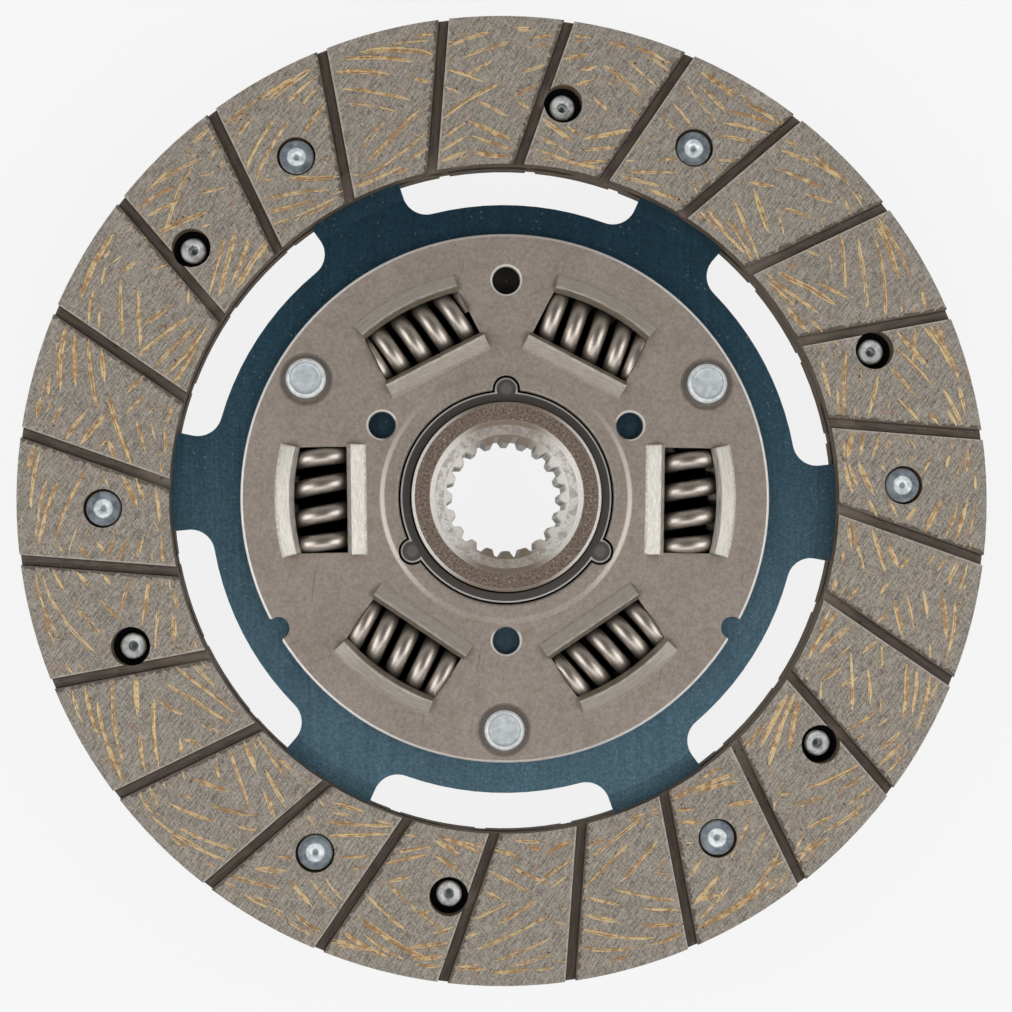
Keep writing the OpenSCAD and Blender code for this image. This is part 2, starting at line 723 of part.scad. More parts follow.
// A flange that the hub flange rubs on, and a collar that centres the hub in the plates.
module front_friction_ring() {
    back_z = ring_z - front_ring_t;
    bore_r = hub_r + running_gap;
    edge = collar_bevel;
    edge_z = collar_top_z - edge;
    lobe_z = collar_top_z - lobe_drop;
    color([0.08, 0.08, 0.08])
        difference() {
            union() {
                rotate_extrude()
                    polygon([[0, back_z], [ring_flange_r, back_z], [ring_flange_r, ring_z],
                        [collar_r, ring_z], [collar_r, edge_z], [collar_r - edge, collar_top_z],
                        [0, collar_top_z]]);
                around(lobe_angles, lobe_circle_r)
                    rotate_extrude()
                        polygon([[0, back_z], [lobe_r, back_z], [lobe_r, lobe_z - edge],
                            [lobe_r - edge, lobe_z], [0, lobe_z]]);
            }
            rotate_extrude()
                polygon([[0, back_z - over], [bore_r, back_z - over], [bore_r, edge_z],
                    [bore_r + edge + over, collar_top_z + over], [0, collar_top_z + over]]);
            translate([0, 0, flange_top_z])
                cylinder(r1 = hub_r + 2 * hub_foot, r2 = hub_r, h = 2 * hub_foot);
        }
}

module rear_friction_ring() {
    color([0.08, 0.08, 0.08])
        translate([0, 0, thrust_top_z])
            difference() {
                cylinder(r = ring_flange_r, h = rear_ring_t);
                translate([0, 0, -over])
                    cylinder(r = hub_rear_r + running_gap, h = rear_ring_t + 2 * over);
                translate([0, 0, rear_ring_t + axial_gap - hub_foot])
                    cylinder(r1 = hub_rear_r, r2 = hub_rear_r + 2 * hub_foot, h = hub_foot);
            }
}

module thrust_ring() {
    color([0.5, 0.48, 0.45])
        translate([0, 0, washer_top_z]) {
            difference() {
                cylinder(r = thrust_r, h = thrust_t);
                translate([0, 0, -over])
                    cylinder(r = thrust_inner_r, h = thrust_t + 2 * over);
            }
            around(tab_angles, tab_circle_r) {
                translate([-tab_t - (tab_circle_r - thrust_r) - over, -tab_w / 2, 0])
                    cube([tab_circle_r - thrust_r + over + tab_t - tab_slot_gap, tab_w, thrust_t]);
                translate([-tab_t - tab_slot_gap, -tab_w / 2, tab_end_z - washer_top_z])
                    cube([tab_t, tab_w, washer_top_z - tab_end_z + thrust_t]);
            }
        }
}

// The conical washer rests on the dished middle of the rear plate at its outer edge.
module spring_washer() {
    color([0.35, 0.36, 0.38])
        rotate_extrude()
            polygon([[washer_inner_r, washer_top_z - washer_t], [washer_inner_r, washer_top_z],
                [washer_outer_r, dish_z + washer_t], [washer_outer_r, dish_z]]);
}

front_lining();
rear_lining();
carrier_plate();
front_plate();
rear_plate();
hub();
damper_spring(0);  // damper_spring_1
damper_spring(1);  // damper_spring_2
damper_spring(2);  // damper_spring_3
damper_spring(3);  // damper_spring_4
damper_spring(4);  // damper_spring_5
damper_spring(5);  // damper_spring_6
stop_pin(pin_angles[0]);  // stop_pin_1
stop_pin(pin_angles[1]);  // stop_pin_2
stop_pin(pin_angles[2]);  // stop_pin_3
front_rivets();
rear_rivets();
front_friction_ring();
rear_friction_ring();
thrust_ring();
spring_washer();
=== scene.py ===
"""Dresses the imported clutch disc: the finish of every part, and pieces too fine for a solid.

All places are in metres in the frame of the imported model. The disc's axis is Z, and its front
looks up.
"""
import math
import random

import bpy
from mathutils import Euler, Matrix, Vector, noise


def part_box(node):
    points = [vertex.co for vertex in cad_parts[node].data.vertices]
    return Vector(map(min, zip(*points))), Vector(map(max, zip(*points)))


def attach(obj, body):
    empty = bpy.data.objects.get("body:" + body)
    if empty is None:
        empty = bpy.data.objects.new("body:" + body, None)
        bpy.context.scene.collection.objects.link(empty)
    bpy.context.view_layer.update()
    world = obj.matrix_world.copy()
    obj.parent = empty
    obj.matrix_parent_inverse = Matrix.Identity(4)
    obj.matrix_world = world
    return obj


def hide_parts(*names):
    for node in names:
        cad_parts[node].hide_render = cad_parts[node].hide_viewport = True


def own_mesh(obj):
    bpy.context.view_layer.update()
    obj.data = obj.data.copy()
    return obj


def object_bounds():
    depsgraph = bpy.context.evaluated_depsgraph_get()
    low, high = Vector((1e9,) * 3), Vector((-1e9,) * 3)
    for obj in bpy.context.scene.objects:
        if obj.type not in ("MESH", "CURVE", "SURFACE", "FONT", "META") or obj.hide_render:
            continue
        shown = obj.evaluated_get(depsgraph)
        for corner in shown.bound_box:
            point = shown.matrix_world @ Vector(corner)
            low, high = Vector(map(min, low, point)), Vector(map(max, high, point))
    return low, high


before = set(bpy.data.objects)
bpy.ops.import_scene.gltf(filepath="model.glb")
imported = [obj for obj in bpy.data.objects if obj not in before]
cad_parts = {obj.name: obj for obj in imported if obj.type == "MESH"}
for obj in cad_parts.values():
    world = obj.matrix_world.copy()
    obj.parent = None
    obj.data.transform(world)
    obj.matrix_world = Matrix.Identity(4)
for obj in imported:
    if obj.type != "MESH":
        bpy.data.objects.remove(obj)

CAD_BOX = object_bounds()
MM = 0.001

bl_info = {
    "name": "Clutch Disc Finish",
    "version": (1, 0, 0),
    "blender": (4, 5, 0),
    "location": "3D View > Sidebar > Clutch Disc",
    "description": "Finishes and fine pieces for a clutch disc with a torsion damper",
    "category": "Object",
}

LINING_R, _, FACE_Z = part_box("front_lining")[1]
PLATE_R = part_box("front_plate")[1].y
REST_Z = CAD_BOX[0].z
LINING_INNER_R = LINING_R - 30.4 * MM

# Even rings of points: their circle's radius in mm, the angle of the first one, and their number.
PINS = (48, math.radians(29.5), 3)
TAB_HOLES = (29.3, math.radians(270), 3)
RING_LOBES = (22.4, math.radians(90), 3)

RIVET_PITCH = math.radians(60)
GROOVE_DEPTH = 1.4 * MM
SPRING_ANGLES = [math.radians(a) for a in (-1, 62.5, 117.5, 181, 236, 304)]
SPRING_TURNS = [math.radians(a) for a in (38, -90, 20, 5, 184, 184)]
SOFT_SPRINGS = (1, 4)
LAMP_REACH = 0.75


def shade(red, green, blue):
    """The linear colour of a paint that a screen shows with these values from 0 to 255."""
    def linear(value):
        part = value / 255
        return part / 12.92 if part <= 0.04045 else ((part + 0.055) / 1.055) ** 2.4
    return linear(red), linear(green), linear(blue)


def colour(name, description, value):
    """A colour that a user can set."""
    return bpy.props.FloatVectorProperty(
        name=name, description=description, subtype="COLOR", size=3, min=0, max=1, default=value)


def length(name, description, millimetres):
    """A length that a user can set."""
    return bpy.props.FloatProperty(
        name=name, description=description, unit="LENGTH", min=0, precision=5,
        default=millimetres * MM)


def turn(name, description, degrees):
    """An angle that a user can set."""
    return bpy.props.FloatProperty(
        name=name, description=description, subtype="ANGLE", default=math.radians(degrees))


def share(name, description, value):
    """A share from 0 to 1 that a user can set."""
    return bpy.props.FloatProperty(
        name=name, description=description, subtype="FACTOR", min=0, max=1, default=value)


def number(name, description, least, value):
    """A whole number that a user can set."""
    return bpy.props.IntProperty(name=name, description=description, min=least, default=value)


class DiscLiningSettings(bpy.types.PropertyGroup):
    """The two friction linings."""
    face: colour("Lining", "Colour of the sanded lining", shade(139, 132, 122))
    groove_floor: colour("Groove", "Colour of the moulded groove floor", shade(100, 89, 80))
    rim: colour("Rim", "Colour of the cut outer and inner rim", shade(74, 63, 53))
    groove_count: number("Grooves", "Number of grooves in a lining", 1, 24)
    groove_width: length("Groove width", "Width of a groove", 2.1)
    groove_lean: turn("Groove lean", "Lean of a groove from the radial direction at the rim", 11.8)
    groove_start: turn("First groove", "Angle of the first groove at the rim", 7.5)
    rivet_circle: length("Rivet circle", "Radius that the lining rivets stand on", 82.6)
    rivet_hole: length("Rivet hole", "Diameter of the rivet holes", 8)
    head_angle: turn("First head", "Angle of the first rivet head at the front", 1.75)
    tail_angle: turn("First tail", "Angle of the first rivet tail at the front", 21.8)
    sanding: share("Sanding", "Strength of the sanding marks", 0.5)


class DiscStrandSettings(bpy.types.PropertyGroup):
    """The brass strands that are wound into the linings."""
    bright: colour(
        "Brass", "Colour of a strand that the sanding has laid open", shade(216, 190, 144))
    dull: colour("Tarnished brass", "Colour of a strand under resin", shade(168, 132, 92))
    stain: colour("Stain", "Colour of the resin round a strand", shade(154, 124, 92))
    laps: number("Laps", "How often the strands are wound round the disc", 1, 19)
    waves: bpy.props.FloatProperty(
        name="Waves", description="Number of waves in a lap", min=1, default=3.5)
    patches: number(
        "Patches", "How often the lean of the strands that show changes in a lap", 1, 10)
    middle: length("Middle", "Radius of the middle of the winding", 84)
    swing: length("Swing", "How far a strand swings to each side of the middle", 13.2)
    wire: length("Wire", "Radius of one brass wire", 0.21)
    crumbs: number("Crumbs", "Number of crumbs in a groove", 0, 26)


class DiscSteelSettings(bpy.types.PropertyGroup):
    """The steel sheets, the hub and the fasteners."""
    carrier: colour("Blued steel", "Colour of the carrier plate", shade(66, 90, 102))
    plate: colour("Phosphated steel", "Colour of the cover plates", shade(147, 136, 126))
    # The worn edge colour also serves for the painted highlights on the lip crests, the hub's teeth
    # and the hub's sides.
    worn: colour(
        "Worn edge", "Colour of steel where an edge is rubbed bright", shade(214, 207, 198))
    hub: colour("Sintered steel", "Colour of the hub", shade(111, 96, 85))
    cone: colour(
        "Machined steel", "Colour of the hub's countersink and teeth", shade(158, 151, 143))
    zinc: colour("Zinc", "Colour of the zinc on the pins and rivets", shade(206, 212, 215))
    plastic: colour("Black plastic", "Colour of the friction rings", shade(72, 67, 63))
    bare: colour("Bare steel", "Colour of the thrust ring and the washer", shade(128, 124, 118))


class DiscSpringSettings(bpy.types.PropertyGroup):
    """The six damper springs."""
    colour: colour("Spring steel", "Colour of the coil springs", shade(172, 161, 150))
    circle: length("Spring circle", "Distance of the springs from the disc's axis", 38.3)
    outside: length("Outside diameter", "Outside diameter of a spring", 14.6)
    wire: length("Wire", "Wire diameter of a spring", 3.7)
    fitted: length("Length", "Length of a fitted spring", 21.7)
    soft_pitch: length("Soft pitch", "Pitch of the free turns of the two soft springs", 6.05)
    stiff_pitch: length("Stiff pitch", "Pitch of the free turns of the four stiff springs", 5.05)
    tip: length("Tip", "Thickness of the ground tip of the wire", 0.9)
    sides: number("Sides", "Faces round the wire", 6, 20)
    steps: number("Steps", "Faces along one turn", 12, 44)
    pressed: share("Pressed", "Length of a spring at the end of the hub's travel", 0.7)


class DiscStageSettings(bpy.types.PropertyGroup):
    """Camera, lamps and floor."""
    backdrop: share("Backdrop", "Brightness of the floor in the picture", 0.86)
    camera: bpy.props.FloatVectorProperty(
        name="Camera", description="Place of the camera", subtype="TRANSLATION", unit="LENGTH",
        default=(-0.0154, -0.015, 0.3862))
    target: bpy.props.FloatVectorProperty(
        name="Target", description="Point that the camera looks at", subtype="TRANSLATION",
        unit="LENGTH", default=(-0.00013, -0.00192, 0.0043))
    lens: bpy.props.FloatProperty(
        name="Lens", description="Focal length in millimetres", min=1, default=66.06)


def look():
    """The settings of the scene."""
    return bpy.context.scene


class Value:
    """A number that the render works out at each place. Arithmetic with it adds nodes to its tree.

    For two masks, a * b is where both hold, and a | b is the larger of them.
    """

    def __init__(self, nodes, socket):
        self.nodes, self.socket = nodes, socket

    def apply(self, operation):
        """This number after an operation of the Math node, such as SQRT."""
        return self.nodes.math(operation, self)

    def __add__(self, other):
        return self.nodes.math("ADD", self, other)

    def __sub__(self, other):
        return self.nodes.math("SUBTRACT", self, other)

    def __rsub__(self, other):
        return self.nodes.math("SUBTRACT", other, self)

    def __mul__(self, other):
        return self.nodes.math("MULTIPLY", self, other)

    def __truediv__(self, other):
        return self.nodes.math("DIVIDE", self, other)

    def __rtruediv__(self, other):
        return self.nodes.math("DIVIDE", other, self)

    def __or__(self, other):
        return self.nodes.math("MAXIMUM", self, other)

    def __abs__(self):
        return self.apply("ABSOLUTE")


class Nodes:
    """A node tree, built with short calls. A number or a colour may stand for a socket."""

    def __init__(self, holder):
        holder.use_nodes = True
        self.tree = holder.node_tree
        self.tree.nodes.clear()

    def put(self, socket, value):
        """Links a value to a socket, or sets the socket to it."""
        if isinstance(value, Value):
            value = value.socket
        if isinstance(value, bpy.types.NodeSocket):
            self.tree.links.new(value, socket)
        elif socket.type == "RGBA":
            socket.default_value = (*value[:3], 1)
        else:
            socket.default_value = value

    def node(self, kind, inputs=(), **settings):
        """A shader node. Its inputs are values for its first sockets, or a dictionary of them."""
        made = self.tree.nodes.new("ShaderNode" + kind)
        for name, value in settings.items():
            setattr(made, name, value)
        for key, value in inputs.items() if isinstance(inputs, dict) else enumerate(inputs):
            self.put(made.inputs[key], value)
        return made

    def math(self, operation, *values):
        return Value(self, self.node("Math", values, operation=operation).outputs[0])

    def vector(self, operation, *values, scale=None):
        made = self.node("VectorMath", values, operation=operation)
        if scale is not None:
            self.put(made.inputs["Scale"], scale)
        if operation in ("DOT_PRODUCT", "LENGTH"):
            return Value(self, made.outputs["Value"])
        return made.outputs["Vector"]

    def parts(self, vector):
        """The three numbers of a vector."""
        return [Value(self, part) for part in self.node("SeparateXYZ", (vector,)).outputs]

    def joined(self, *numbers):
        """A vector from its three numbers."""
        return self.node("CombineXYZ", numbers).outputs[0]

    def rotated(self, vector, angle):
        """A vector turned round the disc's axis."""
        made = self.node("VectorRotate", {"Vector": vector, "Angle": angle}, rotation_type="Z_AXIS")
        return made.outputs[0]

    def step(self, value, low, high, first=0.0, last=1.0):
        """Goes softly from first to last as the value goes from low to high."""
        made = self.node(
            "MapRange", (value, low, high, first, last), interpolation_type="SMOOTHSTEP")
        return Value(self, made.outputs[0])

    def band(self, value, low, high, soft):
        """1 where the value lies between low and high, with soft ends."""
        return self.step(value, low - soft, low + soft) * self.step(value, high + soft, high - soft)

    def blend(self, mask, first, second):
        """The first number where the mask is 0, and the second where it is 1."""
        made = self.node("Mix", {0: mask, 2: first, 3: second}, data_type="FLOAT")
        return Value(self, made.outputs[0])

    def mix(self, mask, first, second):
        """The first colour where the mask is 0, and the second where it is 1."""
        return self.node("Mix", {0: mask, 6: first, 7: second}, data_type="RGBA").outputs[2]

    def seen_directly(self):
        """1 for what the camera sees, also in a mirror or through glass."""
        path = self.node("LightPath").outputs
        camera, mirror, glass = (
            Value(self, path[f"Is {ray} Ray"]) for ray in ("Camera", "Glossy", "Transmission"))
        return camera | mirror | glass


class Finish(Nodes):
    """One material. Its paint is the colour so far, which each coat covers in part."""

    def __init__(self, name):
        self.material = bpy.data.materials.new(name)
        super().__init__(self.material)
        self.output = self.node("OutputMaterial")
        self.paint = None
        self.place = self.vector("SCALE", self.node("TexCoord").outputs["Object"], scale=1 / MM)
        self.x, self.y, self.z = self.parts(self.place)
        self.radius = (self.x * self.x + self.y * self.y).apply("SQRT")
        geometry = self.node("NewGeometry").outputs
        self.normal = geometry["Normal"]
        self.island = Value(self, geometry["Random Per Island"])
        facing, _, self.up = self.parts(self.normal)
        self.tilt = abs(self.up)
        self.sideways = abs(facing) / (1.0001 - self.up * self.up).apply("SQRT")
        self.lateral = abs(self.x) / self.radius

    def brighter(self, paint, amount):
        """A paint times an amount."""
        return self.vector("SCALE", paint, scale=amount)

    def coat(self, mask, paint):
        """Lays another paint over this one where the mask is 1."""
        self.paint = self.mix(mask, self.paint, paint)

    def grain(self, size, detail=2.0, stretch=None, turned=0.0, place=None, rough=0.5, seed=0.0):
        """Soft noise from 0 to 1 with spots of a size in mm, longer along a stretched axis."""
        place = place or self.place
        if turned:
            place = self.rotated(place, turned)
        if stretch:
            place = self.vector("MULTIPLY", place, tuple(1 / s for s in stretch))
        if seed:
            place = self.vector("ADD", place, (seed, seed * 1.7, seed * 0.6))
        made = self.node("TexNoise", {
            "Vector": place, "Scale": 1 / size, "Detail": detail, "Roughness": rough})
        return Value(self, made.outputs["Fac"])

    def spots(self, size, seed=0.0):
        """Distance from the middles of scattered cells, from 0 up, with cells of a size in mm."""
        place = self.place
        if seed:
            place = self.vector("ADD", place, (seed, seed * 1.3, seed * 0.7))
        made = self.node("TexVoronoi", {"Vector": place, "Scale": 1 / size})
        return Value(self, made.outputs["Distance"])

    def angle(self):
        """The angle round the axis in radians."""
        return self.math("ARCTAN2", self.y, self.x)

    def swept(self, stretch):
        """A place for grain that runs round the axis, and is longer along its path by a factor."""
        return self.joined(self.radius, self.angle() * (40 / stretch), self.z)

    def nearest(self, circle, first, count):
        """Distance in mm from the nearest point of an even ring of points."""
        pitch = math.tau / count
        turns = (self.angle() - (first - pitch / 2)) / pitch
        offset = ((turns + count).apply("FRACT") - 0.5) * pitch
        across = self.radius * offset.apply("SINE")
        along = self.radius * offset.apply("COSINE") - circle
        return (across * across + along * along).apply("SQRT")

    def rounded(self, width):
        """The surface's direction with edges rounded over a width in millimetres."""
        return self.node("Bevel", {"Radius": width * MM}, samples=4).outputs[0]

    def edges(self, width):
        """1 along edges, out to about a width in millimetres."""
        flat = self.vector("DOT_PRODUCT", self.rounded(width), self.normal)
        return self.step(flat, 0.995, 0.86)

    def corners(self, reach, least):
        """Light that reaches a place: least in corners, 1 where nothing stands within reach mm."""
        made = self.node("AmbientOcclusion", {"Distance": reach * MM}, samples=4)
        return self.step(made.outputs["AO"], 0.1, 0.95, least, 1.0)

    def bump(self, height, depth, normal=None):
        """Lifts the surface where height is 1, by a depth in millimetres."""
        inputs = {"Strength": 1.0, "Distance": depth * MM, "Height": height}
        if normal:
            inputs["Normal"] = normal
        return self.node("Bump", inputs).outputs[0]

    def surface(self, **sockets):
        """Ends the material with a shader of its paint and these sockets, and returns it."""
        inputs = {name.replace("_", " "): value for name, value in sockets.items()}
        made = self.node("BsdfPrincipled", {"Base Color": self.paint, **inputs})
        self.put(self.output.inputs["Surface"], made.outputs[0])
        return self.material


def dress(names, material):
    """Gives CAD nodes their finish."""
    for name in names:
        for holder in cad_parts[name].material_slots:
            holder.material = material


def add_piece(name, points, faces, material, body, smooth=True):
    """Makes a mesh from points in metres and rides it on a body."""
    mesh = bpy.data.meshes.new(name)
    mesh.from_pydata(points, [], faces)
    mesh.update()
    mesh.polygons.foreach_set("use_smooth", [smooth] * len(mesh.polygons))
    mesh.materials.append(material)
    piece = bpy.data.objects.new(name, mesh)
    bpy.context.scene.collection.objects.link(piece)
    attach(piece, body)
    return piece


def polar(radius, angle, height):
    """A point from its distance and angle round the axis, and its height."""
    return Vector((radius * math.cos(angle), radius * math.sin(angle), height))


def wobble(place, seed=0.0):
    """Smooth noise from about -1 to 1 along a line."""
    return noise.noise(Vector((place, seed * 7.3, seed * 2.1)))


def turned_over():
    """Carries the front lining onto the rear one, which is the same moulding turned over."""
    lining = look().disc_lining
    around = Matrix.Rotation(lining.head_angle + lining.tail_angle, 4, "Z")
    return around @ Matrix.Rotation(math.pi, 4, "X")


def groove_layout():
    """How far the grooves' lines pass from the axis, their pitch, and the first one's angle."""
    lining = look().disc_lining
    foot = LINING_R * math.sin(lining.groove_lean)
    start = lining.groove_start + math.pi / 2 - lining.groove_lean
    return foot, math.tau / lining.groove_count, start


def groove_distance(radius, angle):
    """How far a place on the front lining lies from the middle line of the nearest groove."""
    foot, pitch, start = groove_layout()
    offset = angle - start + math.acos(foot / radius)
    offset = (offset + pitch / 2) % pitch - pitch / 2
    return abs(offset) * math.sqrt(radius ** 2 - foot ** 2)


def rivet_distance(radius, angle):
    """How far a place on the front lining lies from the middle of the nearest rivet."""
    lining = look().disc_lining
    place = polar(radius, angle, 0)
    found = []
    for first in (lining.head_angle, lining.tail_angle):
        nearest = first + RIVET_PITCH * round((angle - first) / RIVET_PITCH)
        found.append((place - polar(lining.rivet_circle, nearest, 0)).length)
    return min(found)


def sanded_face(finish, scuffed):
    """Paints the grey-brown woven body of a lining. Returns the weave's tone and the pits in it."""
    fine = finish.grain(0.42, 3, rough=0.65)
    strokes = finish.grain(0.24, 2, stretch=(1, 12, 1), turned=0.62, rough=0.6)
    crossed = finish.grain(0.26, 3, stretch=(1, 8, 1), turned=-0.6, rough=0.65, seed=31)
    tone = fine * 0.34 + strokes * 0.4 + crossed * 0.26
    finish.paint = finish.brighter(
        look().disc_lining.face, finish.step(tone, 0.37, 0.63, 0.46, 1.54)
        * finish.blend(finish.grain(9, 3), 0.93, 1.07)
        * finish.blend(finish.grain(2.2, 2, seed=12), 0.94, 1.06))
    specks = finish.step(finish.spots(1.5), 0.2, 0.1)
    few = finish.step(finish.grain(3, 1, seed=5), 0.55, 0.68)
    finish.coat(specks * few * 0.5, shade(206, 196, 182))
    pits = finish.step(finish.spots(1.9, seed=17), 0.2, 0.12) * finish.step(
        finish.grain(4, 2, seed=40), 0.56, 0.66)
    finish.coat(pits * 0.6, shade(66, 56, 48))
    rusty = finish.step(finish.grain(2.4, 3, seed=71), 0.6, 0.74) * finish.step(
        finish.grain(0.5, 2, seed=9), 0.42, 0.6)
    finish.coat(rusty * 0.55, shade(160, 112, 78))
    if scuffed:
        from_scuff = finish.vector("LENGTH", finish.vector(
            "MULTIPLY", finish.vector("SUBTRACT", finish.place, (53.5, 84, 4)), (0.17, 0.34, 0)))
        rubs = finish.grain(0.7, 3, stretch=(2.5, 1, 1), turned=0.5, seed=3)
        scuff = finish.step(from_scuff, 1.0, 0.4) * finish.step(rubs, 0.5, 0.62)
        finish.coat(scuff * 0.45, shade(190, 188, 184))
    return tone, pits


def groove_floor(finish, run, shade_beside_wall):
    """The moulded floor of a groove, streaked along its run, with painted shade beside its walls.
    """
    streaks = finish.step(finish.grain(0.55, 3, stretch=(1, 9, 0.2), place=run), 0.38, 0.64)
    floor = finish.mix(streaks, look().disc_lining.groove_floor, shade(84, 73, 65))
    blotches = finish.step(finish.grain(2.6, 4, seed=55), 0.52, 0.72, 0.0, 0.5)
    floor = finish.mix(blotches, floor, shade(74, 62, 54))
    floor = finish.mix(shade_beside_wall, floor, shade(52, 42, 36))
    # Paler patches of groove floor towards the lining's inner edge.
    paler_inner_patches = finish.step(finish.radius, 80, 71) * finish.step(
        finish.grain(20, 1, seed=60), 0.48, 0.56)
    return finish.mix(paler_inner_patches * 0.6, floor, shade(132, 122, 111))


def lining_finish(name, over):
    """Sanded lining with torn groove edges and dark grooves, for the front or turned over.

    Each torn edge has painted shade on one side of its groove and a painted highlight on the other.
    """
    lining = look().disc_lining
    finish = Finish(name)
    if over:
        back = finish.rotated(finish.place, -(lining.head_angle + lining.tail_angle))
        finish.place = finish.vector("MULTIPLY", back, (1, -1, -1))
        finish.x, finish.y, finish.z = finish.parts(finish.place)
        finish.up = finish.up * -1
    foot, pitch, start = groove_layout()
    foot = foot / MM
    lean = (foot / finish.radius).apply("ARCCOSINE")
    counted = (finish.angle() + lean - (start - pitch / 2)) / pitch
    turns = (counted + 10).apply("FRACT") - 0.5
    away = turns * pitch * (finish.radius * finish.radius - foot ** 2).apply("SQRT")
    distance = abs(away)
    depth = FACE_Z / MM - finish.z
    half = lining.groove_width / MM / 2

    tone, pits = sanded_face(finish, not over)
    run = finish.joined(away, finish.radius, counted.apply("FLOOR"))
    # Painted shade along the foot of each groove wall.
    shade_beside_wall = finish.step(distance, half - 0.45, half - 0.1, 0.0, 0.8)
    finish.coat(finish.step(depth, 0.08, 0.2), groove_floor(finish, run, shade_beside_wall))
    top = finish.step(finish.up, 0.7, 0.9) * finish.step(depth, 0.2, 0.08)
    lit_side = finish.step(away, 0.1, -0.1)
    torn = finish.step(finish.grain(1.1, 4), 0.32, 0.62, 0.0, 0.75)
    torn = torn * finish.blend(lit_side, 1.0, 0.45)
    edge = top * finish.step(distance - torn, half + 0.16, half + 0.02)
    # Painted shade on the torn edges of each groove's shaded side, and a painted highlight on its
    # lit side.
    finish.coat(edge * (1.0 - lit_side) * 0.75, shade(72, 62, 54))
    finish.coat(edge * lit_side * 0.7, shade(176, 168, 157))
    rim = finish.mix(finish.grain(0.9, 3), lining.rim, shade(98, 86, 74))
    cut_brass = finish.step(finish.grain(0.5, 3, place=finish.swept(7), seed=3), 0.52, 0.66)
    rim = finish.mix(cut_brass, rim, shade(134, 108, 70))
    finish.coat(finish.step(finish.tilt, 0.6, 0.3), rim)

    height = tone * 0.7 + (1.0 - edge) * 0.6 - pits * 0.5
    return finish.surface(
        Roughness=finish.blend(tone, 0.62, 0.85), Specular_IOR_Level=0.35,
        Normal=finish.bump(height, 0.18 * lining.sanding))


class DISC_OT_linings(bpy.types.Operator):
    """Gives both friction linings their sanded finish"""
    bl_idname = "clutch_disc.linings"
    bl_label = "Friction linings"

    def execute(self, context):
        dress(["front_lining"], lining_finish("lining_front", False))
        dress(["rear_lining"], lining_finish("lining_rear", True))
        return {"FINISHED"}


def strand_shown(radius, angle, falling):
    """True where the winding lies in the sanded skin, which changes from patch to patch."""
    sector = math.cos(look().disc_strands.patches * (angle - math.radians(195))) > 0
    outer = radius > look().disc_lining.rivet_circle
    return falling == (sector == outer)


def strand_cut(radius, angle):
    """True where a strand would cross a groove, a rivet hole or a rim."""
    lining = look().disc_lining
    in_groove = groove_distance(radius, angle) < lining.groove_width / 2 + 0.15 * MM
    in_hole = rivet_distance(radius, angle) < lining.rivet_hole / 2 + 0.3 * MM
    return in_groove or in_hole or not LINING_INNER_R < radius < LINING_R - 0.5 * MM


def strand_dashes(dice):
    """Lists of (radius, angle) places, one for each dash of brass that shows on a lining."""
    strands = look().disc_strands
    step = 0.55 * MM
    shown, hidden = (9, 26, 16), (1.5, 6, 2.5)
    shortest = 4
    dashes = []
    for lap in range(strands.laps):
        phase = math.tau * lap / strands.laps + dice.uniform(-0.08, 0.08)
        angle = dice.uniform(0, 0.1)
        left, drawing, odd = 0.0, False, False
        dash = []
        while angle < math.tau:
            wave = strands.waves * angle + phase
            drift = wobble(angle * 5, lap) * 0.9 * MM
            radius = strands.middle + strands.swing * math.sin(wave) + drift
            slope = strands.swing * strands.waves * math.cos(wave)
            if left <= 0:
                drawing = not drawing
                odd = dice.random() < 0.05
                left = dice.triangular(*(shown if drawing else hidden)) * MM
            fits = strand_shown(radius, angle, slope < 0) or odd
            if drawing and fits and not strand_cut(radius, angle):
                dash.append((radius, angle))
            elif dash:
                dashes.append(dash)
                dash = []
            left -= step
            angle += step / math.hypot(radius, slope)
        dashes.append(dash)
    return [dash for dash in dashes if len(dash) >= shortest]


def wire_mesh(path, aside, thick, buried, seed):
    """Points and faces of the open side of one wire that lies along a path, sunk in the lining."""
    arc = [math.radians(a) for a in (0, 50, 90, 130, 180)]
    last = len(path) - 1
    points = []
    for i, point in enumerate(path):
        ahead = (path[min(i + 1, last)] - path[max(i - 1, 0)]).normalized()
        across = Vector((-ahead.y, ahead.x, 0))
        end = min(i, last - i) * 0.55
        taper = min(1, 0.35 + end * 0.35)
        drift = aside * min(1, end * 0.5) + wobble(i * 0.13, seed) * 0.2 * MM
        lift = (wobble(i * 0.3, seed + 50) * 0.14 - buried) * MM
        for a in arc:
            side = across * (drift + math.cos(a) * thick * taper)
            height = FACE_Z + lift + math.sin(a) * thick * taper
            points.append(point + side + Vector((0, 0, height)))
    ring = len(arc)
    faces = [(k, k + ring, k + ring + 1, k + 1)
             for i in range(last) for k in range(i * ring, (i + 1) * ring - 1)]
    return points, faces


FLECK_CORNERS = 5


def fleck_outline(place, dice):
    """Corners of a small uneven stain round a place on the lining."""
    size = dice.triangular(0.08, 0.38, 0.14) * MM
    turned = dice.uniform(0, math.tau)
    corners = []
    for k in range(FLECK_CORNERS):
        reach = size * dice.uniform(0.5, 1.2)
        a = turned + math.tau * k / FLECK_CORNERS
        corners.append(place + Vector(
            (math.cos(a) * reach, math.sin(a) * reach * 0.7, FACE_Z + 0.006 * MM)))
    return corners


def join(points, faces, more_points, more_faces):
    """Adds points and the faces between them to those of a mesh."""
    first = len(points)
    points += more_points
    faces += [tuple(first + k for k in face) for face in more_faces]


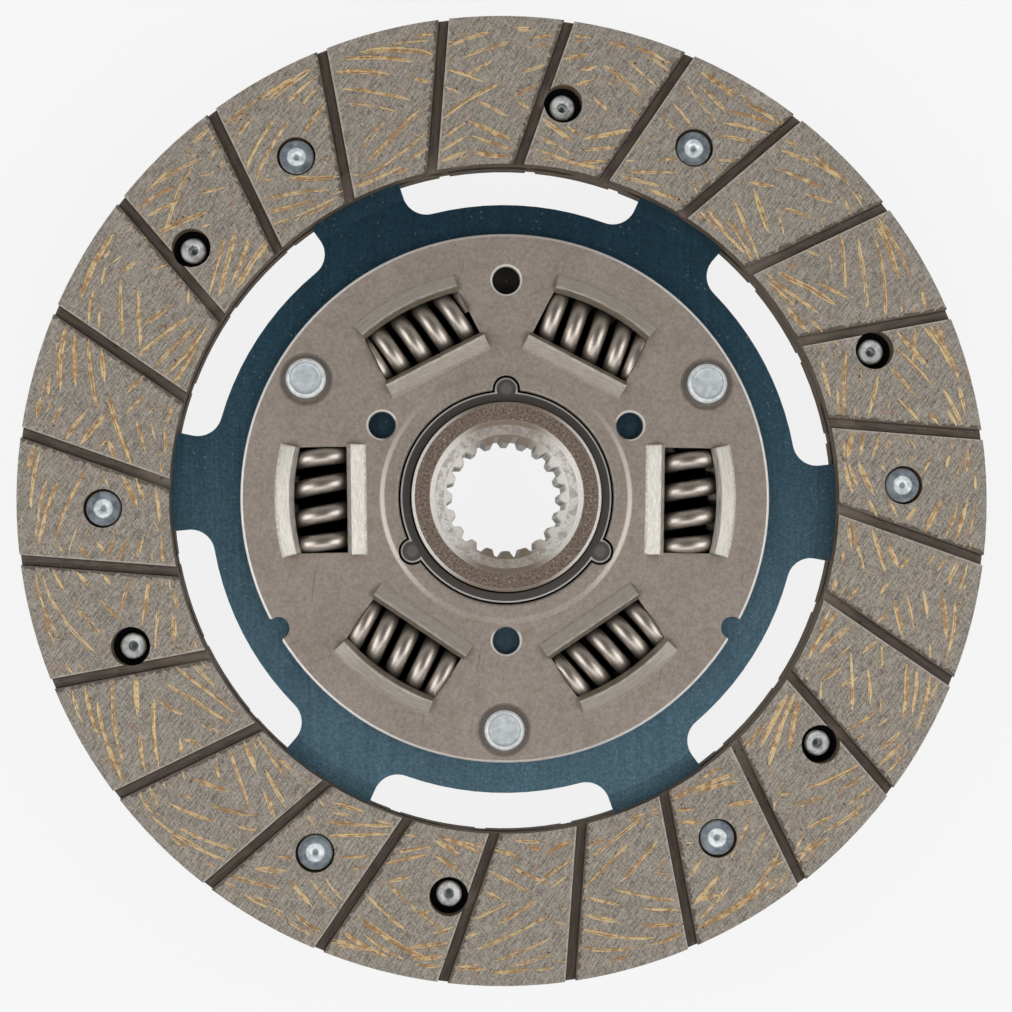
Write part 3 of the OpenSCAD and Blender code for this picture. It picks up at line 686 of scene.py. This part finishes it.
def strand_meshes(dashes, dice):
    """Points and faces of the brass wires along the dashes, and of the stains beside them."""
    wires, wire_faces = [], []
    stains, stain_faces = [], []
    for number, dash in enumerate(dashes):
        path = [polar(radius, angle, 0) for radius, angle in dash]
        faint = dice.random() < 0.22
        for strand in range(dice.choice((2, 2, 2, 3))):
            thick = look().disc_strands.wire * dice.uniform(0.8, 1.3)
            buried = dice.uniform(0.05, 0.1) + (0.08 if faint else 0)
            join(wires, wire_faces, *wire_mesh(
                path, (strand - 0.6) * 0.34 * MM, thick, buried, number * 3.1 + strand))
        for _ in range(int(len(path) * (2.0 if faint else 1.3))):
            place = path[dice.randrange(len(path))] + Vector(
                (dice.gauss(0, 0.4), dice.gauss(0, 0.4), 0)) * MM
            if not strand_cut(place.length, math.atan2(place.y, place.x)):
                join(stains, stain_faces, fleck_outline(place, dice), [range(FLECK_CORNERS)])
    return (wires, wire_faces), (stains, stain_faces)


def brass_finish():
    """Sanded brass wire: bright where it is open, tarnished and brown where resin covers it."""
    strands = look().disc_strands
    finish = Finish("brass_strand")
    open_brass = finish.step(finish.grain(1.3, 3, rough=0.6) + finish.island * 0.16, 0.45, 0.68)
    finish.paint = finish.mix(open_brass, strands.dull, strands.bright)
    finish.coat(finish.step(finish.grain(0.8, 2, seed=14), 0.6, 0.7, 0.0, 0.6), shade(96, 72, 48))
    return finish.surface(Metallic=0.35, Roughness=0.42,
                          Normal=finish.bump(finish.grain(0.2, 2), 0.04))


def stain_finish():
    """Resin stained by the brass: brown, with some flecks nearly black and some pale."""
    finish = Finish("strand_stain")
    finish.paint = look().disc_strands.stain
    finish.coat(finish.step(finish.island, 0.3, 0.8), shade(176, 146, 96))
    finish.coat(finish.step(finish.island, 0.2, 0.12), shade(84, 66, 52))
    return finish.surface(Roughness=0.7, Specular_IOR_Level=0.3)


class DISC_OT_strands(bpy.types.Operator):
    """Adds the brass strands that show in the sanded faces of both linings"""
    bl_idname = "clutch_disc.strands"
    bl_label = "Brass strands"

    def execute(self, context):
        brass, stain = brass_finish(), stain_finish()
        for side, seed in (("front", 11), ("rear", 29)):
            dice = random.Random(seed)
            (wires, wire_faces), (stains, stain_faces) = strand_meshes(strand_dashes(dice), dice)
            if side == "rear":
                carry = turned_over()
                wires = [carry @ point for point in wires]
                stains = [carry @ point for point in stains]
            add_piece("strands_" + side, wires, wire_faces, brass, "disc")
            add_piece(
                "stains_" + side, stains, stain_faces, stain, "disc", False)
        return {"FINISHED"}


def crumb_points(place, size, dice):
    """Corners of a small uneven lump."""
    turned = Euler([dice.uniform(0, math.tau) for _ in range(3)]).to_matrix()
    corners = [(1, 0, 0), (-1, 0, 0), (0, 1, 0), (0, -1, 0), (0, 0, 1), (0, 0, -1)]
    return [place + turned @ (Vector(c) * size * dice.uniform(0.6, 1.3)) for c in corners]


CRUMB_FACES = [
    (0, 2, 4), (2, 1, 4), (1, 3, 4), (3, 0, 4), (2, 0, 5), (1, 2, 5), (3, 1, 5), (0, 3, 5)]


class DISC_OT_crumbs(bpy.types.Operator):
    """Adds the crumbs of torn lining that lie in the grooves"""
    bl_idname = "clutch_disc.crumbs"
    bl_label = "Crumbs"

    def execute(self, context):
        lining, strands = look().disc_lining, look().disc_strands
        finish = Finish("lining_crumb")
        finish.paint = finish.mix(finish.island, shade(58, 48, 42), shade(138, 126, 112))
        material = finish.surface(Roughness=0.85, Specular_IOR_Level=0.2)
        foot, pitch, start = groove_layout()
        for side, seed in (("front", 5), ("rear", 8)):
            dice = random.Random(seed)
            points, faces = [], []
            for groove in range(lining.groove_count):
                crowd = dice.choice((0.4, 0.7, 1, 1.6))
                for _ in range(int(strands.crumbs * crowd)):
                    radius = LINING_R - dice.uniform(0.6, 30) * MM
                    angle = start + groove * pitch - math.acos(foot / radius)
                    across = dice.choice((-1, 1)) * dice.triangular(0.1, 0.5, 0.47)
                    angle += across * lining.groove_width / radius
                    if rivet_distance(radius, angle) < lining.rivet_hole / 2 + 0.3 * MM:
                        continue
                    size = dice.triangular(0.06, 0.3, 0.1) * MM
                    place = polar(radius, angle, FACE_Z - GROOVE_DEPTH + size * 0.4)
                    join(points, faces, crumb_points(place, size, dice), CRUMB_FACES)
            if side == "rear":
                carry = turned_over()
                points = [carry @ point for point in points]
            add_piece("crumbs_" + side, points, faces, material, "disc", False)
        return {"FINISHED"}


class DISC_OT_carrier(bpy.types.Operator):
    """Gives the carrier plate its brushed, blued finish"""
    bl_idname = "clutch_disc.carrier"
    bl_label = "Carrier plate"

    def execute(self, context):
        finish = Finish("blued_steel")
        brushed = finish.grain(0.5, 3, stretch=(1, 60, 1), rough=0.6)
        broad = finish.grain(3, 2, stretch=(1, 30, 1), seed=8)
        speckled = finish.grain(0.55, 3, rough=0.7, seed=16)
        finish.paint = look().disc_steel.carrier
        # Painted reflection: the blued sheet gets a bluer tint towards the top, and its paint runs
        # from 1.6 times as bright at the bottom to 0.46 times at the top.
        finish.coat(finish.step(finish.y, -30, 60), shade(54, 92, 112))
        finish.paint = finish.brighter(
            finish.paint, finish.blend(brushed, 0.72, 1.28) * finish.blend(broad, 0.84, 1.16)
            * finish.blend(finish.grain(26, 2, seed=4), 0.9, 1.1)
            * finish.step(speckled, 0.35, 0.68, 0.82, 1.32)
            * finish.step(finish.y, -72, 72, 1.6, 0.46))
        dust = finish.step(finish.spots(1.3), 0.2, 0.08) * finish.step(
            finish.grain(5, 2, seed=30), 0.44, 0.6)
        finish.coat(dust * 0.5, shade(150, 158, 160))
        # Edges worn bright, which also serves as a painted highlight along them.
        finish.coat(finish.edges(0.22) * finish.grain(1.4, 3, seed=2) * 0.8, shade(150, 160, 166))
        # Painted shade: the carrier is painted darker where it shows through the cover plate's
        # holes.
        hole = finish.step(finish.nearest(*TAB_HOLES), 3.4, 3.0)
        finish.paint = finish.brighter(finish.paint, finish.blend(hole, 1.0, 0.55))
        # Painted shade: outside the holes and the ring between the cover plate and the linings, the
        # carrier is painted a matt near-black, which shows in the rivets' counterbores.
        clear_of_painted_shade = hole | finish.band(finish.radius, PLATE_R / MM - 3, LINING_R / MM - 29, 0.4)
        finish.paint = finish.mix(clear_of_painted_shade, shade(20, 20, 23), finish.paint)
        dress(["carrier_plate"], finish.surface(
            Metallic=clear_of_painted_shade * 0.7, Specular_IOR_Level=clear_of_painted_shade * 0.5,
            Roughness=finish.blend(clear_of_painted_shade, 0.9, finish.blend(brushed, 0.34, 0.5)),
            Normal=finish.bump(brushed, 0.02, finish.rounded(0.15))))
        return {"FINISHED"}


def pressed_skin(finish, mottle, fine):
    """Paints the mottled phosphate of a cover plate, with brown clouds and scratches."""
    finish.paint = finish.brighter(
        look().disc_steel.plate, finish.step(mottle, 0.3, 0.7, 0.84, 1.16)
        * finish.blend(finish.grain(11, 3, seed=6), 0.84, 1.16) * finish.blend(fine, 0.84, 1.16))
    brown = finish.step(finish.grain(3.2, 3, seed=23), 0.52, 0.72, 0.0, 0.3)
    finish.coat(brown, shade(128, 108, 92))
    steep = finish.step(
        finish.grain(0.5, 2, stretch=(1, 26, 1), turned=0.15, seed=33), 0.66, 0.72) * finish.step(
        finish.grain(13, 1, seed=90), 0.52, 0.62)
    slanted = finish.step(
        finish.grain(0.42, 2, stretch=(1, 22, 1), turned=1.1, seed=43), 0.67, 0.74) * finish.step(
        finish.grain(10, 1, seed=77), 0.54, 0.64)
    finish.coat((steep | slanted) * 0.4, shade(84, 72, 64))


def phosphate_finish(name, lip_top):
    """Phosphated pressing: mottled warm grey, bright where edges are rubbed.

    Painted highlights lie on the lips, their crests, the hole bevels, the rim and the step. The cut
    edges of the lips are painted lighter where they face the side lamps. Painted shade lies at the
    lips' feet, on upright walls, in the pin dimples and in corners.

    The lips end at lip_top, in mm from the disc's middle plane.
    """
    worn = look().disc_steel.worn
    finish = Finish(name)
    mottle = finish.grain(0.7, 4, rough=0.62)
    fine = finish.grain(0.28, 2, seed=13)
    streaks = finish.grain(0.3, 3, place=finish.swept(9))
    tilt, radius, height = finish.tilt, finish.radius, abs(finish.z)
    plate_r = PLATE_R / MM
    outside = finish.step(radius, 27.5, 28.5)
    faces_side_lamps = finish.step(finish.sideways, 0.62, 0.9)
    pressed_skin(finish, mottle, fine)

    # Painted highlight on the lips' slopes, lighter on the lips that face the side lamps.
    lips = finish.band(tilt, 0.855, 0.9, 0.008) * outside
    lip_highlight = lips * finish.step(fine, 0.3, 0.6, 0.75, 0.95)
    lip = finish.mix(faces_side_lamps, shade(158, 150, 140), shade(204, 200, 191))
    finish.coat(lip_highlight, finish.brighter(lip, finish.step(streaks, 0.3, 0.7, 0.86, 1.14)))
    # Painted shade at the foot of each lip.
    foot = lips * finish.step(height, lip_top - 1.2, lip_top - 1.55) * finish.step(
        mottle, 0.35, 0.6)
    finish.coat(foot * 0.5, shade(112, 101, 90))
    # Painted highlight on the bevels round the holes.
    hole_edge_highlight = finish.band(tilt, 0.6, 0.8, 0.03) * outside * finish.step(
        radius, plate_r - 1.2, plate_r - 1.6)
    finish.coat(hole_edge_highlight * 0.9, shade(225, 220, 214))
    # Painted light and shade on the lips' cut edges: lighter where they face the side lamps, darker
    # elsewhere.
    sheared = finish.band(tilt, 0.4, 0.54, 0.03) * outside
    cut = finish.mix(faces_side_lamps, shade(112, 102, 88), shade(176, 170, 162))
    finish.coat(sheared * 0.9, finish.brighter(cut, finish.step(streaks, 0.35, 0.65, 0.7, 1.25)))
    # Painted highlight along the lip crests, joined with the edges that are worn bright.
    crest = outside * finish.step(height, lip_top - 0.3, lip_top - 0.1) * finish.step(
        streaks, 0.35, 0.6, 0.4, 1.0) * finish.blend(faces_side_lamps, 0.75, 0.4)
    rubbed_and_lit = (finish.edges(0.3) | crest) * finish.step(
        finish.grain(1.6, 3, seed=61), 0.3, 0.6, 0.35, 0.95)
    finish.coat(rubbed_and_lit, worn)
    # The rim worn bright, with a painted highlight that is strongest at the left and right.
    rim = finish.step(radius, plate_r - 0.6, plate_r - 0.4) * finish.step(finish.up, 0.2, 0.35)
    finish.coat(rim * finish.step(finish.lateral, 0.15, 0.75, 0.4, 0.95), shade(240, 236, 232))
    # Painted shade on upright walls.
    finish.coat(finish.step(tilt, 0.38, 0.2) * 0.5, shade(110, 98, 88))
    # Painted shade in the dished dimple round each pin.
    pin = finish.nearest(*PINS)
    dimple = finish.step(pin, 5.75, 5.35) * finish.step(pin, 3.8, 4.9, 0.5, 1.0)
    finish.coat(dimple * 0.36, shade(88, 78, 70))
    # Painted shade in corners.
    finish.paint = finish.brighter(finish.paint, finish.corners(2.0, 0.35))
    # Painted highlight on the step round the raised middle, strongest at the left and right.
    step_highlight = finish.band(radius, 25.2, 26.1, 0.15) * finish.step(
        tilt, 0.97, 0.9) * finish.step(finish.lateral, 0.5, 0.95, 0.1, 0.8)
    finish.coat(step_highlight * 0.8, shade(212, 204, 196))
    return finish.surface(
        Metallic=finish.blend(rubbed_and_lit | step_highlight, 0.22, 0.8) | lip_highlight * faces_side_lamps * 0.62,
        Roughness=finish.blend(rubbed_and_lit, finish.blend(lip_highlight, 0.5, 0.42), 0.28),
        Normal=finish.bump(mottle, 0.025, finish.rounded(0.6)))


class DISC_OT_cover_plates(bpy.types.Operator):
    """Gives both cover plates their phosphated finish"""
    bl_idname = "clutch_disc.cover_plates"
    bl_label = "Cover plates"

    def execute(self, context):
        front_top, rear_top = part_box("front_plate")[1].z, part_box("rear_plate")[0].z
        dress(["front_plate"], phosphate_finish("phosphated_steel_front", front_top / MM))
        dress(["rear_plate"], phosphate_finish("phosphated_steel_rear", -rear_top / MM))
        return {"FINISHED"}


class DISC_OT_hub(bpy.types.Operator):
    """Gives the hub its sintered finish, with a machined cone and teeth"""
    bl_idname = "clutch_disc.hub"
    bl_label = "Hub"

    def execute(self, context):
        steel = look().disc_steel
        finish = Finish("sintered_steel")
        coarse = finish.grain(0.5, 3, rough=0.7)
        # aside runs towards 1 at the hub's left and right, which face the side lamps; the colours
        # mixed by it are painted light there.
        aside = finish.step(finish.lateral, 0.3, 0.85)

        # Painted highlight: the countersink is painted lighter at the left and right.
        cone = finish.mix(aside, steel.cone, shade(206, 203, 198))
        patchy = finish.step(finish.grain(1.5, 3, seed=27), 0.46, 0.6) * 0.5
        cone = finish.mix(patchy, cone, shade(130, 116, 104))
        cone = finish.brighter(cone, finish.step(coarse, 0.3, 0.7, 0.8, 1.2))
        # The body's paint includes painted shade in corners.
        finish.paint = finish.brighter(
            steel.hub, finish.step(coarse, 0.3, 0.7, 0.4, 1.6)
            * finish.blend(finish.grain(0.26, 2, seed=4), 0.7, 1.3)
            * finish.blend(finish.grain(5, 2, seed=9), 0.85, 1.15) * finish.corners(2.0, 0.4))
        finish.coat(finish.step(finish.radius, 15.0, 14.7), cone)
        # Painted highlight on the teeth walls: near white at the left and right near the front
        # face, greyer deeper in the bore and at the top and bottom.
        teeth = finish.step(finish.radius, 13.3, 13.1) * finish.step(finish.tilt, 0.3, 0.1)
        worn = finish.mix(finish.step(finish.z, -4, 5), shade(150, 146, 140), shade(244, 243, 240))
        finish.coat(teeth, finish.mix(aside, shade(160, 150, 141), worn))
        # Painted highlight on the bevels at the left and right, darker brown at the top and bottom.
        bevel_highlights = finish.band(finish.tilt, 0.55, 0.88, 0.04) * finish.step(
            coarse, 0.25, 0.5, 0.6, 1.0)
        finish.coat(bevel_highlights, finish.mix(aside, shade(138, 124, 110), shade(240, 235, 228)))
        # Painted shade: the flange below the carrier plate, which shows through the sight hole, is
        # painted near black.
        flange_shade = finish.step(finish.z, -0.5, -1.5) * finish.step(finish.radius, 20.0, 20.5)
        finish.coat(flange_shade, shade(40, 34, 30))
        specks = finish.step(finish.spots(0.8), 0.24, 0.12) * finish.step(
            finish.grain(2, 2, seed=41), 0.48, 0.6)
        finish.coat(specks * 0.5, shade(206, 196, 186))
        # Edges worn bright, with a painted highlight that is strongest at the left and right.
        edge = finish.edges(0.35) * finish.step(
            finish.grain(1.2, 3, seed=3), 0.25, 0.5, 0.4, 1.0) * finish.step(
            finish.lateral, 0.1, 0.75, 0.3, 1.0)
        finish.coat(edge, steel.worn)
        dress(["hub"], finish.surface(
            Metallic=finish.blend(edge, 0.25, 0.8),
            Roughness=finish.blend(bevel_highlights | edge, 0.52, 0.34),
            Normal=finish.bump(coarse, 0.09, finish.rounded(0.3))))
        return {"FINISHED"}


def spring_mesh(angle, start, pitch, middle_z):
    """Points and faces of one damper spring. Its end turns are closed and ground flat."""
    springs = look().disc_springs
    wire_r = springs.wire / 2
    mean_r = springs.outside / 2 - wire_r
    closed_pitch, closed_turns = springs.wire * 1.02, 0.9
    free = springs.fitted / 2 + wire_r - springs.tip - closed_turns * closed_pitch
    end = free / pitch + closed_turns
    lift = math.atan(pitch / (math.tau * mean_r))
    rings = round(2 * end * springs.steps)
    around = Matrix.Rotation(angle, 4, "Z")
    points = []
    for ring in range(rings + 1):
        turns = end * (2 * ring / rings - 1)
        height = turns * pitch
        if abs(height) > free:
            height = math.copysign(free + (abs(turns) - free / pitch) * closed_pitch, turns)
        a = math.tau * turns + start
        for side in range(springs.sides):
            b = math.tau * (side + 0.5) / springs.sides
            out = mean_r + wire_r * math.cos(b)
            along = height + wire_r * math.sin(b) * math.cos(lift)
            back = -wire_r * math.sin(b) * math.sin(lift)
            across = out * math.cos(a) - back * math.sin(a)
            up = -(out * math.sin(a) + back * math.cos(a))
            along = max(-springs.fitted / 2, min(springs.fitted / 2, along))
            points.append(around @ Vector((springs.circle + up, along, middle_z - across)))
    faces = []
    for here in range(0, rings * springs.sides, springs.sides):
        there = here + springs.sides
        for side in range(springs.sides):
            after = (side + 1) % springs.sides
            faces.append((here + side, here + after, there + after, there + side))
    faces.append(tuple(range(springs.sides - 1, -1, -1)))
    faces.append(tuple(rings * springs.sides + k for k in range(springs.sides)))
    return points, faces


def spring_finish(name, angle, middle_z):
    """Oiled spring steel that is brown on top, with painted shade inside the coil and down its
    sides.
    """
    springs = look().disc_springs
    finish = Finish(name)
    drawn = finish.grain(0.5, 3, rough=0.6)
    cloud = finish.grain(3.5, 2, seed=7)
    across = finish.vector("DOT_PRODUCT", finish.place, polar(1, angle, 0)) - springs.circle / MM
    height = finish.z - middle_z / MM
    reach = (across * across + height * height).apply("SQRT")
    outer = springs.outside / MM / 2
    lit = finish.step(reach, outer - 2.3, outer - 0.9) * finish.step(abs(height), 2.2, 5.6)
    finish.paint = finish.brighter(
        springs.colour, finish.blend(drawn, 0.8, 1.2) * finish.blend(cloud, 0.86, 1.14) * lit)
    return finish.surface(
        Metallic=0.85, Roughness=finish.blend(drawn, 0.33, 0.39), Specular_IOR_Level=lit * 0.5,
        Coat_Weight=lit * 0.7, Coat_Roughness=0.3, Coat_IOR=2.0,
        Normal=finish.bump(finish.grain(0.5, 2, seed=1), 0.004))


class DISC_OT_springs(bpy.types.Operator):
    """Replaces the six damper springs with finely swept coils"""
    bl_idname = "clutch_disc.springs"
    bl_label = "Damper springs"

    def execute(self, context):
        springs = look().disc_springs
        low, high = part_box("damper_spring_1")
        middle_z = (low.z + high.z) / 2
        for number, (angle, start) in enumerate(zip(SPRING_ANGLES, SPRING_TURNS), 1):
            pitch = springs.soft_pitch if number in SOFT_SPRINGS else springs.stiff_pitch
            points, faces = spring_mesh(angle, start, pitch, middle_z)
            material = spring_finish("spring_steel_" + str(number), angle, middle_z)
            piece = add_piece("coil_" + str(number), points, faces, material, "spring_set")
            piece.data.set_sharp_from_angle(angle=math.radians(50))
            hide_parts("damper_spring_" + str(number))
            tuple(polar(springs.circle, angle, middle_z))
            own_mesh(piece)
        return {"FINISHED"}


def zinc_finish(name, heads, rings, tails=0, uneven=0.14):
    """Zinc-plated steel on an even ring of heads. Round each head's middle lie rings of painted
    highlight and shade, given as (inner radius, outer radius, colour, strength), with the radii in
    millimetres.

    The tails' ends, painted with a highlight round a dark middle, look up where tails is 1, and
    down where it is -1.
    """
    finish = Finish(name)
    blotch = finish.grain(1.4, 3, rough=0.6)
    fine = finish.grain(0.3, 3, seed=5)
    away = finish.nearest(*heads)
    flat = finish.step(finish.tilt, 0.5, 0.8)
    finish.paint = look().disc_steel.zinc
    for inner, outer, ring_colour, strength in rings:
        finish.coat(finish.band(away, inner, outer, 0.12) * flat * strength, ring_colour)
    # Painted highlight on the tails' ends, which sit in shaded holes, round a dark middle.
    tail_end_highlight = finish.mix(finish.step(away, 0.5, 0.7), shade(120, 120, 118), shade(250, 250, 248))
    finish.coat(finish.step(finish.z * tails, 0.0, 0.5), tail_end_highlight)
    finish.paint = finish.brighter(
        finish.paint, finish.step(blotch, 0.32, 0.68, 1 - uneven, 1 + uneven)
        * finish.blend(fine, 0.84, 1.16))
    tint = finish.step(finish.grain(2.2, 2, seed=19), 0.4, 0.65, 0.0, 0.3)
    finish.coat(tint, shade(178, 190, 188))
    # Painted shade in corners.
    finish.paint = finish.brighter(finish.paint, finish.corners(1.2, 0.6))
    return finish.surface(
        Metallic=0.3, Roughness=finish.blend(blotch, 0.25, 0.42),
        Normal=finish.bump(fine, 0.03, finish.rounded(0.4)))


class DISC_OT_fasteners(bpy.types.Operator):
    """Gives the stop pins and the lining rivets their zinc"""
    bl_idname = "clutch_disc.fasteners"
    bl_label = "Pins and rivets"

    def execute(self, context):
        lining = look().disc_lining
        # Rings round each pin head: a line of painted shade, then a painted highlight on the rim.
        pin_light_and_shade_rings = (
            (3.05, 3.35, shade(150, 158, 162), 0.7), (3.4, 4.3, shade(250, 250, 250), 0.85))
        dress(["stop_pin_1", "stop_pin_2", "stop_pin_3"],
              zinc_finish("zinc_plated_steel", PINS, pin_light_and_shade_rings))
        # Rings round each rivet head: a grey middle, a painted highlight, painted shade on the
        # domed flank, and a pale outer ring.
        rivet_light_and_shade_rings = (
            (-1, 0.6, shade(120, 124, 124), 0.9), (0.75, 1.8, shade(232, 238, 240), 0.9),
            (1.95, 3.3, shade(98, 106, 118), 0.9), (3.45, 4.2, shade(214, 216, 214), 0.6))
        sides = (("front", lining.head_angle, -1), ("rear", lining.tail_angle, 1))
        for side, first, tails in sides:
            heads = (lining.rivet_circle / MM, first, 6)
            dress([side + "_rivets"], zinc_finish(
                "rivet_zinc_" + side, heads, rivet_light_and_shade_rings, tails, 0.3))
        return {"FINISHED"}


class DISC_OT_friction_pack(bpy.types.Operator):
    """Gives the plastic friction rings, the thrust ring and the spring washer their finish"""
    bl_idname = "clutch_disc.friction_pack"
    bl_label = "Friction pack"

    def execute(self, context):
        steel = look().disc_steel
        finish = Finish("black_plastic")
        dust = finish.grain(0.6, 4, rough=0.65)
        lobe = finish.nearest(*RING_LOBES)
        finish.paint = finish.brighter(steel.plastic, finish.blend(dust, 0.75, 1.25))
        # Painted highlight: the middle of each lobe is painted lighter grey.
        finish.coat(finish.step(lobe, 1.5, 0.9, 0.0, 0.5), shade(112, 108, 102))
        # Painted highlight on the collar's outer bevel, between the lobes.
        collar_bevel_highlight = finish.band(finish.up, 0.6, 0.85, 0.06) * finish.step(
            finish.radius, 20.4, 20.6) * finish.step(lobe, 1.9, 2.0)
        finish.coat(collar_bevel_highlight * 0.8, shade(206, 204, 200))
        # Painted shade: the collar's inner edge beside the hub is painted near black.
        bore_shade = finish.step(finish.radius, 19.95, 19.8)
        finish.coat(bore_shade, shade(16, 13, 12))
        dress(["front_friction_ring", "rear_friction_ring"], finish.surface(
            Roughness=finish.blend(dust, 0.3, 0.5),
            Normal=finish.bump(dust, 0.03, finish.rounded(0.12))))

        finish = Finish("bare_spring_steel")
        rolled = finish.grain(0.6, 3, stretch=(1, 12, 1))
        finish.paint = finish.brighter(steel.bare, finish.blend(rolled, 0.8, 1.2))
        finish.coat(finish.edges(0.25) * 0.7, steel.worn)
        dress(["thrust_ring", "spring_washer"], finish.surface(
            Metallic=0.85, Roughness=finish.blend(rolled, 0.3, 0.46),
            Normal=finish.bump(rolled, 0.01, finish.rounded(0.2))))
        return {"FINISHED"}


def lamp(name, bearing, elevation, size, power):
    """A soft box that shines on the disc's middle from a bearing and an elevation in degrees."""
    light = bpy.data.lights.new(name, "AREA")
    light.shape = "RECTANGLE"
    light.size, light.size_y = size
    light.energy = power
    made = bpy.data.objects.new(name, light)
    rise = math.radians(elevation)
    made.location = polar(
        LAMP_REACH * math.cos(rise), math.radians(bearing), LAMP_REACH * math.sin(rise))
    made.rotation_euler = (-made.location).to_track_quat("-Z", "Y").to_euler()
    bpy.context.scene.collection.objects.link(made)
    return made


class DISC_OT_stage(bpy.types.Operator):
    """Sets up the pale floor, the soft lamps and the camera"""
    bl_idname = "clutch_disc.stage"
    bl_label = "Stage"

    def execute(self, context):
        stage = look().disc_stage
        bpy.context.scene.view_settings.view_transform = "Standard"
        self.make_floor(stage)
        self.make_world()
        lamp("left_lamp", 191, 42, (0.6, 0.5), 2.3)
        lamp("right_lamp", 349, 42, (0.6, 0.5), 2.3)
        lamp("near_lamp", 270, 48, (0.7, 0.4), 1.2)
        lamp("far_lamp", 90, 36, (0.6, 0.3), 0.9).visible_glossy = False
        self.make_camera(stage)
        return {"FINISHED"}

    def make_camera(self, stage):
        """A camera that looks from its place at its target, with +Y upwards in the picture."""
        camera = bpy.data.objects.new("camera", bpy.data.cameras.new("camera"))
        camera.data.lens = stage.lens
        camera.data.sensor_width = 36
        camera.data.clip_start = 0.01
        camera.location = stage.camera
        aim = (Vector(stage.target) - Vector(stage.camera)).normalized()
        right = aim.cross(Vector((0, 1, 0))).normalized()
        turned = Matrix((right, right.cross(aim), -aim)).transposed()
        camera.rotation_euler = turned.to_euler()
        bpy.context.scene.collection.objects.link(camera)
        bpy.context.scene.camera = camera

    def make_floor(self, stage):
        """A pale floor that glows for the camera, apart from the shadow under the disc's plates."""
        reach = 3.0
        corners = [(x * reach, y * reach, REST_Z) for x, y in ((-1, -1), (1, -1), (1, 1), (-1, 1))]
        mesh = bpy.data.meshes.new("floor")
        mesh.from_pydata(corners, [], [(0, 1, 2, 3)])
        floor = bpy.data.objects.new("floor", mesh)
        bpy.context.scene.collection.objects.link(floor)
        finish = Finish("floor")
        shaded = finish.band(finish.radius, 17, 53, 3)
        glow = finish.node("Emission", {"Strength": finish.blend(shaded, stage.backdrop, 0.0)})
        paper = finish.node("BsdfDiffuse", {"Color": (0.7, 0.7, 0.7)})
        shadowed = finish.node("BsdfDiffuse", {
            "Color": finish.mix(shaded, (0.07, 0.07, 0.07), (0, 0, 0))})
        pale = finish.node("AddShader", (shadowed.outputs[0], glow.outputs[0]))
        choice = finish.node("MixShader", (
            finish.seen_directly(), paper.outputs[0], pale.outputs[0]))
        finish.put(finish.output.inputs["Surface"], choice.outputs[0])
        mesh.materials.append(finish.material)

    def make_world(self):
        """A dim room that is darkest overhead, in front of a pale backdrop."""
        world = bpy.data.worlds.new("studio")
        bpy.context.scene.world = world
        nodes = Nodes(world)
        place = nodes.node("TexCoord").outputs["Generated"]
        overhead = nodes.vector("DOT_PRODUCT", place, (0, 0.26, 0.966))
        room = nodes.node("Background", {
            "Color": (0.8, 0.8, 0.8), "Strength": nodes.step(overhead, 0.62, 1.0, 0.5, 0.05)})
        backdrop = nodes.node("Background", {"Color": (1, 1, 1), "Strength": 0.92})
        direct = nodes.node("LightPath").outputs["Is Camera Ray"]
        choice = nodes.node("MixShader", (direct, room.outputs[0], backdrop.outputs[0]))
        nodes.node("OutputWorld", {"Surface": choice.outputs[0]})


OPERATORS = [
    DISC_OT_linings, DISC_OT_strands, DISC_OT_crumbs, DISC_OT_carrier, DISC_OT_cover_plates,
    DISC_OT_hub, DISC_OT_springs, DISC_OT_fasteners, DISC_OT_friction_pack, DISC_OT_stage]
SETTINGS = {"disc_lining": DiscLiningSettings, "disc_strands": DiscStrandSettings,
            "disc_steel": DiscSteelSettings, "disc_springs": DiscSpringSettings,
            "disc_stage": DiscStageSettings}


class DISC_PT_panel(bpy.types.Panel):
    """Lists what the clutch disc is dressed with"""
    bl_idname = "DISC_PT_panel"
    bl_label = "Clutch Disc"
    bl_space_type = "VIEW_3D"
    bl_region_type = "UI"
    bl_category = "Clutch Disc"

    def draw(self, context):
        for name, group in SETTINGS.items():
            box = self.layout.box()
            for field in group.__annotations__:
                box.prop(getattr(context.scene, name), field)
        for operator in OPERATORS:
            self.layout.operator(operator.bl_idname)


def register():
    for group in SETTINGS.values():
        bpy.utils.register_class(group)
    for name, group in SETTINGS.items():
        setattr(bpy.types.Scene, name, bpy.props.PointerProperty(type=group))
    for operator in OPERATORS:
        bpy.utils.register_class(operator)
    bpy.utils.register_class(DISC_PT_panel)


def unregister():
    bpy.utils.unregister_class(DISC_PT_panel)
    for operator in reversed(OPERATORS):
        bpy.utils.unregister_class(operator)
    for name, group in SETTINGS.items():
        delattr(bpy.types.Scene, name)
        bpy.utils.unregister_class(group)


def main():
    """Dresses the disc."""
    register()
    bpy.ops.clutch_disc.linings()
    bpy.ops.clutch_disc.strands()
    bpy.ops.clutch_disc.crumbs()
    bpy.ops.clutch_disc.carrier()
    bpy.ops.clutch_disc.cover_plates()
    bpy.ops.clutch_disc.hub()
    bpy.ops.clutch_disc.springs()
    bpy.ops.clutch_disc.fasteners()
    bpy.ops.clutch_disc.friction_pack()
    bpy.ops.clutch_disc.stage()


if __name__ == "__main__":
    main()
